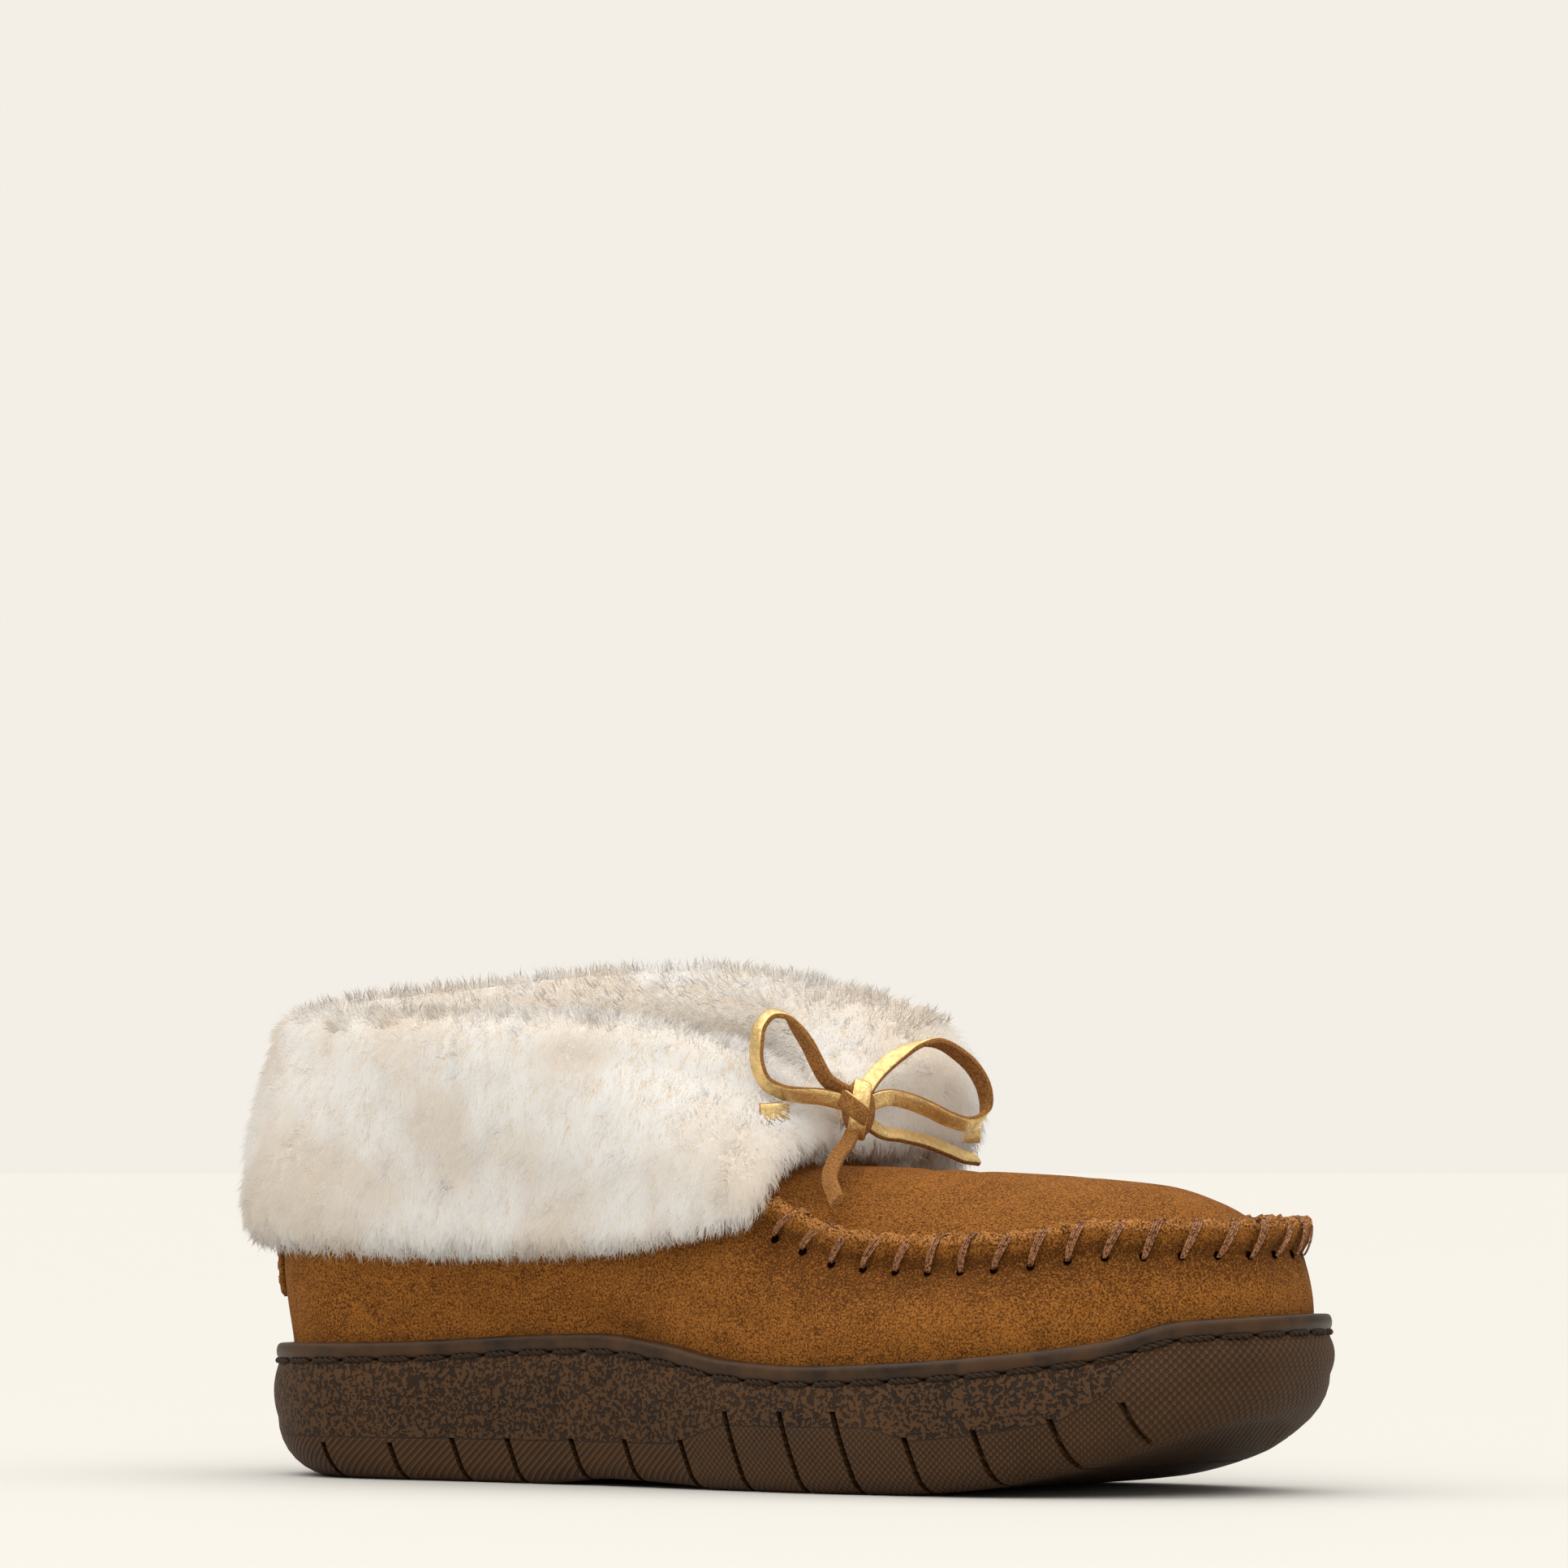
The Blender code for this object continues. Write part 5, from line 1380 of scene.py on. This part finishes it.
def cuff_grid():
    """Sections of the cuff round the collar, the angle of each, and how many points are on its outside."""
    last = Last(CUFF_FINENESS)
    columns = APRON_COLUMNS * CUFF_FINENESS
    turns = collar_turns(last, columns)
    stations = last.throat()
    wall = [wall_ring(last, up) for up in np.linspace(0, 1, 12)]
    crest = crest_ring(last, np.zeros(last.count))[-1]
    rear = apron_points(last, crest, np.array([last.corner]), columns)[0]
    base = np.concatenate([crest[stations], rear])
    shaft = np.array([base] + shaft_points(last, base, columns, SHAFT["up"]))
    lines = np.array([np.concatenate([ring[stations], rear - [0, 0, 1.0]]) for ring in wall] + list(shaft))
    zero = np.zeros(len(turns))
    oval = unit(np.stack([np.cos(turns) / COLLAR_REACH, np.sin(turns) / (COLLAR_WIDTH / 2), zero], 1))
    radial = np.stack([np.cos(turns), np.sin(turns), zero], 1)
    at_side = np.clip((np.abs(turns) - 0.75 * THROAT_TURN) / THROAT_TURN, 0, 1)[:, None]
    plan = unit(mix(radial, oval, at_side))
    around = np.roll(shaft, -1, 1) - np.roll(shaft, 1, 1)
    normal = unit(np.cross(around, np.gradient(shaft, axis=0)))
    top = COLLAR_HEIGHT * cuff_column("top", turns) + CUFF_ABOVE_COLLAR - collar_dip(turns) - PILE_TOP_GAP
    low = CUFF_LOW_EDGE * cuff_column("low", turns) + PILE_LOW_GAP
    thick, flare = CUFF_THICK * cuff_column("thick", turns), cuff_column("flare", turns)
    lift = CUFF_THICK * read(CUFF, "lift", 1 - np.abs(turns) / math.pi)
    section = {"at": np.arange(len(CUFF_SECTION["out"])), **CUFF_SECTION}
    sections = []
    for at in np.linspace(0, len(section["at"]) - 1, 25):
        out, rise = float(read(section, "out", at)), float(read(section, "up", at))
        height = mix(low, top, rise) + lift * max(0.0, 1 - out) * (1 - rise) ** 8
        against = line_points(lines, np.minimum(height, lines[-1][:, 2]))
        upright = mix(against, shaft[0], (flare * max(0.0, out))[:, None])
        place = upright + plan * ((thick - PILE_ROOM) * out)[:, None]
        sections.append(np.column_stack([place[:, :2], height]))
    count = len(sections)
    seat = low + lift * 0.9
    mid = mix(seat, shaft[1][:, 2], 0.5)
    sections.append(line_points(lines, seat) + plan * SOFT_CLEARANCE)
    sections.append(line_points(lines, mid) + plan * SOFT_CLEARANCE)
    outer = [shaft[j] + normal[j] * SOFT_CLEARANCE for j in (1, 2, 3)]
    inner = [shaft[j] - normal[j] * (WALL + SOFT_CLEARANCE) for j in (3, 2)]
    liner = [shaft[j] - normal[j] * (WALL + SOFT_CLEARANCE + CUFF_LINING) for j in (2, 3)]
    lifted = [outer[-1] + [0, 0, SOFT_CLEARANCE], inner[0] + [0, 0, SOFT_CLEARANCE * 1.5]]
    grid = np.stack(sections + outer + lifted + inner + liner, 1)
    front = int(np.argmin(np.abs(turns)))
    order = (front + np.arange(1, len(turns))) % len(turns)
    order = order[np.abs(turns[order]) > math.radians(2.4)]
    return grid[order], turns[order], count


def cuff_mesh():
    """The cuff's skin, with the length of its fleece on each point and a sector number on each face."""
    grid, turns, outside = cuff_grid()
    count, size = grid.shape[:2]
    faces = sheet_faces(count, size, True).tolist()
    faces += [list(range(size)), list(range((count - 1) * size, count * size))]
    mesh = outward(mesh_from("cuff_skin", grid.reshape(-1, 3), faces), merged=False)
    column = np.repeat(np.arange(count - 1), size)
    row = np.tile(np.arange(size), count - 1)
    sector = np.digitize(np.degrees(turns[column]), SECTOR_EDGES)
    sector = np.where(sector == 0, SECTORS["heel"], sector)
    sector = np.where(row < outside - 1, sector, np.where(row >= size - 2, SECTORS["lining"], BARE))
    sector = np.concatenate([sector, [SECTORS["front"], SECTORS["front"]]])
    mesh.attributes.new("sector", "INT", "FACE").data.foreach_set("value", sector.astype(np.int32))
    points = grid.reshape(-1, 3) / MM
    pile = np.ones(len(points))
    for x, y, z, radius, length in PILE_SPOTS:
        away = np.linalg.norm(points - [x, y, z], axis=1)
        pile *= mix(length, 1.0, smooth(away, 0.4 * radius, 1.2 * radius))
    pile[np.tile(np.arange(size) >= size - 2, count)] = 0.6
    mesh.attributes.new("pile", "FLOAT", "POINT").data.foreach_set("value", pile.astype(np.float32))
    return mesh


def strand_mesh(bends):
    """A tapered curling ribbon one metre tall, with its height on each point."""
    points, tips = [], []
    for x, y, z, half in bends:
        tips += [z] * (2 if half else 1)
        points += [(x - half, y, z), (x + half, y, z)] if half else [(x, y, z)]
    count = len(points)
    faces = [(k + 1, k, k + 2, k + 3) for k in range(0, count - 3, 2)]
    faces.append((count - 2, count - 3, count - 1))
    mesh = mesh_from("fleece_strand", points, faces)
    mesh.attributes.new("tip", "FLOAT", "POINT").data.foreach_set("value", tips)
    return mesh


def fleece_tree():
    """Strands on the faces of one sector, leaning into locks, hanging and curling."""
    tree, given = new_tree(
        "fleece_strands", Sector="Int", Density="Float", Length="Float", Lock_Size="Float", Lock_Pull="Float",
        Droop="Float", Curl="Float", Seed="Int", Strand="Object", Material="Material",
    )
    sector = add(tree, "GeometryNodeInputNamedAttribute", "sector", data_type="INT")
    chosen = add(tree, "FunctionNodeCompare", sector, given["Sector"], data_type="INT", operation="EQUAL")
    scattered = add(
        tree, "GeometryNodeDistributePointsOnFaces", given["Geometry"], chosen, given["Density"], given["Seed"],
    ).node.outputs
    points, normal = scattered["Points"], scattered["Normal"]
    place = add(tree, "GeometryNodeInputPosition")
    scale = add(tree, "ShaderNodeMath", 1.0, given["Lock Size"], operation="DIVIDE")
    lock = add(tree, "ShaderNodeTexVoronoi", place, scale).node.outputs
    pull = add(tree, "ShaderNodeVectorMath", lock["Position"], place, operation="SUBTRACT")
    pull = add(tree, "ShaderNodeVectorMath", pull, scale, operation="MULTIPLY")
    strength = add(tree, "ShaderNodeCombineXYZ", given["Lock Pull"], given["Lock Pull"], given["Lock Pull"])
    pull = add(tree, "ShaderNodeVectorMath", pull, strength, operation="MULTIPLY")
    sway = add(tree, "ShaderNodeTexNoise", place, 1 / (7 * MM), 2.0, out=1)
    sway = add(tree, "ShaderNodeVectorMath", sway, (0.5, 0.5, 0.5), operation="SUBTRACT")
    strength = add(tree, "ShaderNodeCombineXYZ", given["Curl"], given["Curl"], given["Curl"])
    sway = add(tree, "ShaderNodeVectorMath", sway, strength, operation="MULTIPLY")
    down = add(tree, "ShaderNodeMath", given["Droop"], -1.0, operation="MULTIPLY")
    hang = add(tree, "ShaderNodeCombineXYZ", 0.0, 0.0, down)
    into = add(tree, "ShaderNodeVectorMath", hang, normal, operation="PROJECT")
    hang = add(tree, "ShaderNodeVectorMath", hang, into, operation="SUBTRACT")
    stray = add(
        tree, "FunctionNodeRandomValue", (-0.35, -0.35, -0.35), (0.35, 0.35, 0.35), None, given["Seed"],
        data_type="FLOAT_VECTOR",
    )
    lean = add(tree, "ShaderNodeVectorMath", normal, (0.5, 0.5, 0.5), operation="MULTIPLY")
    for part in (pull, sway, hang, stray):
        lean = add(tree, "ShaderNodeVectorMath", lean, part, operation="ADD")
    turn = add(tree, "FunctionNodeAlignRotationToVector", None, 1.0, lean, axis="Z")
    side = add(tree, "ShaderNodeVectorMath", lock["Color"], (0.5, 0.5, 0.5), operation="SUBTRACT")
    side = add(tree, "ShaderNodeVectorMath", side, stray, operation="ADD")
    face = add(tree, "ShaderNodeVectorMath", side, (0.7, 0.7, 0.7), normal, operation="MULTIPLY_ADD")
    turn = add(tree, "FunctionNodeAlignRotationToVector", turn, 1.0, face, axis="Y", pivot_axis="Z")
    pile = add(tree, "GeometryNodeInputNamedAttribute", "pile", data_type="FLOAT")
    length = add(tree, "FunctionNodeRandomValue", 0.6, 1.15, None, given["Seed"], data_type="FLOAT")
    length = add(tree, "ShaderNodeMath", length, given["Length"], operation="MULTIPLY")
    length = add(tree, "ShaderNodeMath", length, pile, operation="MULTIPLY")
    points = add(
        tree, "GeometryNodeStoreNamedAttribute", points, None, "lie", normal,
        data_type="FLOAT_VECTOR", domain="POINT",
    )
    strand = add(tree, "GeometryNodeObjectInfo", given["Strand"], None, out=-1)
    strands = add(tree, "GeometryNodeInstanceOnPoints", points, None, strand, None, None, turn, length)
    strands = add(tree, "GeometryNodeRealizeInstances", strands)
    strands = add(tree, "GeometryNodeSetMaterial", strands, None, given["Material"])
    add(tree, "NodeGroupOutput", strands)
    return tree


def wool_fibre(pale, warm):
    """Long wool fleece: matte fibres that pass some light, creamy at the root and paler at the tip."""
    made, tree, shader = new_finish(
        "long_wool_fleece", Roughness=0.9, Sheen_Weight=0.15, Specular_IOR_Level=0.15,
    )
    where = add(tree, "ShaderNodeTexCoord", out=3)
    tip = add(tree, "ShaderNodeAttribute", attribute_name="tip", out=2)
    lie = add(tree, "ShaderNodeAttribute", attribute_name="lie", out=1)
    patch = add(tree, "ShaderNodeTexNoise", where, 1 / (34 * MM), 2.0)
    patch = add(tree, "ShaderNodeMapRange", patch, 0.40, 0.66, 0.0, 0.6, interpolation_type="SMOOTHSTEP")
    root = add(tree, "ShaderNodeMapRange", tip, 0.0, 0.6, 0.25, 0.0)
    share = add(tree, "ShaderNodeMath", patch, root, operation="MAXIMUM")
    shade = add(tree, "ShaderNodeMix", share, (*pale[:3], 1.0), (*warm[:3], 1.0), data_type="RGBA")
    tree.links.new(shade, shader.inputs["Base Color"])
    normal = add(tree, "ShaderNodeNewGeometry", out=1)
    side = add(tree, "ShaderNodeVectorMath", normal, lie, operation="DOT_PRODUCT")
    side = add(tree, "ShaderNodeMath", side, operation="SIGN")
    lie = add(tree, "ShaderNodeVectorMath", lie, side, operation="SCALE")
    soft = add(tree, "ShaderNodeMix", 0.85, normal, lie, data_type="VECTOR")
    soft = add(tree, "ShaderNodeVectorMath", soft, operation="NORMALIZE")
    tree.links.new(soft, shader.inputs["Normal"])
    through = add(tree, "ShaderNodeBsdfTranslucent", shade, normal)
    both = add(tree, "ShaderNodeMixShader", 0.45, shader.outputs[0], through)
    tree.links.new(both, tree.nodes["Material Output"].inputs[0])
    return made


def make_fleece(length, density, lock_size, pale, warm):
    skin = cuff_mesh()
    add_piece("cuff_skin", skin, [fleece_lining(pale, warm)], ("cuff",))
    strand = shown("fleece_strand", strand_mesh(STRAND))
    finish = wool_fibre(pale, warm)
    tree = fleece_tree()
    for name, sector in SECTORS.items():
        inside = name == "lining"
        mesh = grown(
            shown("fleece_guide", skin.copy()), tree, Sector=sector, Density=density * (0.4 if inside else 1.0),
            Length=length, Lock_Size=lock_size, Lock_Pull=0.45, Droop=0.2 if inside else 0.8,
            Curl=1.0, Seed=FLEECE_SEED + sector, Strand=strand, Material=finish,
        )
        mesh.shade_smooth()
        made = add_piece("fleece_" + name, mesh, [finish])
        # Strands that also shade each other render darker than wool is. The cuff's skin casts the shadow.
        made.visible_shadow = made.visible_diffuse = False
    bpy.data.objects.remove(strand)


# Settings that a user would change

def colour_property(name, description, colour):
    return FloatVectorProperty(
        name=name, description=description, subtype="COLOR", size=3, min=0.0, max=1.0,
        default=linear(colour)[:3],
    )


def length_property(name, description, default, low, high):
    return FloatProperty(
        name=name, description=description, default=default, min=low, max=high,
        subtype="DISTANCE", unit="LENGTH", precision=5,
    )


class StageSettings(bpy.types.PropertyGroup):
    floor: colour_property("Floor", "Colour of the floor", "#C6C4BF")
    background: colour_property("Background", "Colour of the light all round", "#F3EEE6")
    ambient: FloatProperty(name="Ambient", description="Strength of the light all round", default=0.54, min=0.0)
    key_strength: FloatProperty(
        name="Key light", description="Strength of the light overhead", default=3.7, min=0.0)
    fill_power: FloatProperty(
        name="Fill light", description="Power of the light in front", default=4.5, min=0.0,
        subtype="POWER", unit="POWER",
    )


class LaceSettings(bpy.types.PropertyGroup):
    width: length_property("Width", "Width of the flat lace", 3.9 * MM, 2 * MM, 8 * MM)
    thickness: length_property("Thickness", "Thickness of the lace", 1.4 * MM, 0.8 * MM, 3 * MM)
    gold: colour_property("Gold face", "Colour of the foiled face", "#F0CC88")
    back: colour_property("Back", "Colour of the suede back and edges", "#A3713F")


class SoleSettings(bpy.types.PropertyGroup):
    # The grooves' colour is reached in the hollows of the tread's grain: painted shade there.
    grooves: colour_property("Grooves", "Colour in the depth of the tread's grain", "#160E07")
    ridges: colour_property("Ridges", "Colour on top of the tread's grain", "#4F351D")
    welt_dark: colour_property("Welt, dark", "Darker tone of the welt", "#23150A")
    welt_light: colour_property("Welt, light", "Lighter tone of the welt", "#452D16")
    stitch_pitch: length_property(
        "Stitch pitch", "Distance from one welt stitch to the next", 9.8 * MM, 4 * MM, 20 * MM)
    stitch_length: length_property("Stitch length", "Length of a welt stitch", 8.0 * MM, 3 * MM, 16 * MM)
    thread: colour_property("Thread", "Colour of the welt's thread", "#3A2C20")


class UpperSettings(bpy.types.PropertyGroup):
    dark: colour_property("Suede, dark", "Suede where the nap lies away", "#4F2D0E")
    light: colour_property("Suede, light", "Suede where the nap lies towards the light", "#9A6228")
    nap: length_property("Nap", "Depth of the nap", 0.4 * MM, 0.0, 1 * MM)
    stitch_pitch: length_property(
        "Stitch pitch", "Distance from one seam stitch to the next", 8.3 * MM, 4 * MM, 15 * MM)
    strand: length_property(
        "Strand radius", "Radius of each of the four strands of a seam stitch", 0.25 * MM, 0.1 * MM, 0.8 * MM)
    # The seam thread's two tones are partly painted shade between its strands and painted highlight on them.
    thread_dark: colour_property("Thread, dark", "Darker tone of the seam's thread", "#33190A")
    thread_light: colour_property("Thread, light", "Lighter tone of the seam's thread", "#BC845C")


class FleeceSettings(bpy.types.PropertyGroup):
    length: length_property("Length", "Length of the strands", 4.0 * MM, 1 * MM, 20 * MM)
    density: FloatProperty(
        name="Density", description="Strands on a square metre", default=5.0e6, min=1.0e4, max=2.0e7)
    lock_size: length_property(
        "Lock size", "Size of the locks that strands gather in", 4.5 * MM, 1 * MM, 20 * MM)
    pale: colour_property("Tips", "Colour of the fleece at its tips", "#E7E6E4")
    warm: colour_property("Roots", "Colour of the fleece at its roots and in warm patches", "#D3C4B2")


class MOCBOOT_OT_stage(bpy.types.Operator):
    """Adds the camera, the floor and the studio light"""

    bl_idname = "mocboot.stage"
    bl_label = "Stage"

    def execute(self, context):
        stage = context.scene.mocboot_stage
        add_camera()
        add_floor(stage.floor)
        add_lamp("sky_light", "SUN", (0.1, -0.25, 1.7), (0.09, 0.0, 0.0), math.radians(110), stage.key_strength)
        add_lamp("fill_light", "AREA", (1.1, -1.9, 0.9), (0.09, 0.0, 0.05), 1.3, stage.fill_power)
        world = bpy.data.worlds.new("studio")
        world.use_nodes = True
        tree = world.node_tree
        seen = add(tree, "ShaderNodeLightPath", out=0)
        strength = add(tree, "ShaderNodeMapRange", seen, 0.0, 1.0, stage.ambient, 1.0)
        ground = tree.nodes["Background"]
        ground.inputs[0].default_value = (*stage.background, 1.0)
        tree.links.new(strength, ground.inputs[1])
        context.scene.world = world
        context.scene.view_settings.view_transform = "Standard"
        return {"FINISHED"}


class MOCBOOT_OT_lace(bpy.types.Operator):
    """Makes the gold-faced lace, its bow and its knot"""

    bl_idname = "mocboot.lace"
    bl_label = "Lace bow"

    def execute(self, context):
        lace = context.scene.mocboot_lace
        make_lace(lace.width, lace.thickness, tuple(lace.gold), tuple(lace.back))
        return {"FINISHED"}


class MOCBOOT_OT_sole(bpy.types.Operator):
    """Makes the cup sole, the welt and the welt's stitches"""

    bl_idname = "mocboot.sole"
    bl_label = "Sole and welt"

    def execute(self, context):
        sole = context.scene.mocboot_sole
        make_outsole(tuple(sole.grooves), tuple(sole.ridges))
        make_welt(tuple(sole.welt_dark), tuple(sole.welt_light))
        make_welt_stitches(sole.stitch_pitch, sole.stitch_length, dimmed(sole.thread, 0.4), tuple(sole.thread))
        return {"FINISHED"}


class MOCBOOT_OT_upper(bpy.types.Operator):
    """Makes the suede upper with its puckered seam, the heel patch and the footbed"""

    bl_idname = "mocboot.upper"
    bl_label = "Upper"

    def execute(self, context):
        upper, fleece = context.scene.mocboot_upper, context.scene.mocboot_fleece
        dark, light = tuple(upper.dark), tuple(upper.light)
        pale, warm = tuple(fleece.pale), tuple(fleece.warm)
        thread = tuple(upper.thread_dark), tuple(upper.thread_light)
        make_upper(dark, light, upper.nap, upper.stitch_pitch, pale, warm)
        make_seam_stitches(upper.stitch_pitch, upper.strand, *thread)
        make_heel_tab(dark, light, upper.nap, *thread)
        make_footbed(pale, warm)
        return {"FINISHED"}


class MOCBOOT_OT_fleece(bpy.types.Operator):
    """Makes the fleece cuff: its skin and the strands on it"""

    bl_idname = "mocboot.fleece"
    bl_label = "Fleece cuff"

    def execute(self, context):
        fleece = context.scene.mocboot_fleece
        make_fleece(fleece.length, fleece.density, fleece.lock_size, tuple(fleece.pale), tuple(fleece.warm))
        return {"FINISHED"}


class MOCBOOT_PT_panel(bpy.types.Panel):
    """Lists what the boot is made of"""

    bl_label = "Moccasin Boot"
    bl_idname = "MOCBOOT_PT_panel"
    bl_space_type = "VIEW_3D"
    bl_region_type = "UI"
    bl_category = "Moccasin Boot"

    def draw(self, context):
        for settings, operator, name in GROUPS:
            box = self.layout.box()
            for setting in settings.__annotations__:
                box.prop(getattr(context.scene, "mocboot_" + name), setting)
            box.operator(operator.bl_idname)


GROUPS = [
    (StageSettings, MOCBOOT_OT_stage, "stage"),
    (LaceSettings, MOCBOOT_OT_lace, "lace"),
    (SoleSettings, MOCBOOT_OT_sole, "sole"),
    (UpperSettings, MOCBOOT_OT_upper, "upper"),
    (FleeceSettings, MOCBOOT_OT_fleece, "fleece"),
]


def register():
    for settings, operator, name in GROUPS:
        bpy.utils.register_class(settings)
        bpy.utils.register_class(operator)
        setattr(bpy.types.Scene, "mocboot_" + name, PointerProperty(type=settings))
    bpy.utils.register_class(MOCBOOT_PT_panel)


def unregister():
    bpy.utils.unregister_class(MOCBOOT_PT_panel)
    for settings, operator, name in reversed(GROUPS):
        delattr(bpy.types.Scene, "mocboot_" + name)
        bpy.utils.unregister_class(operator)
        bpy.utils.unregister_class(settings)


def main():
    register()
    bpy.ops.mocboot.stage()
    bpy.ops.mocboot.lace()
    bpy.ops.mocboot.sole()
    bpy.ops.mocboot.upper()
    bpy.ops.mocboot.fleece()


if __name__ == "__main__":
    main()
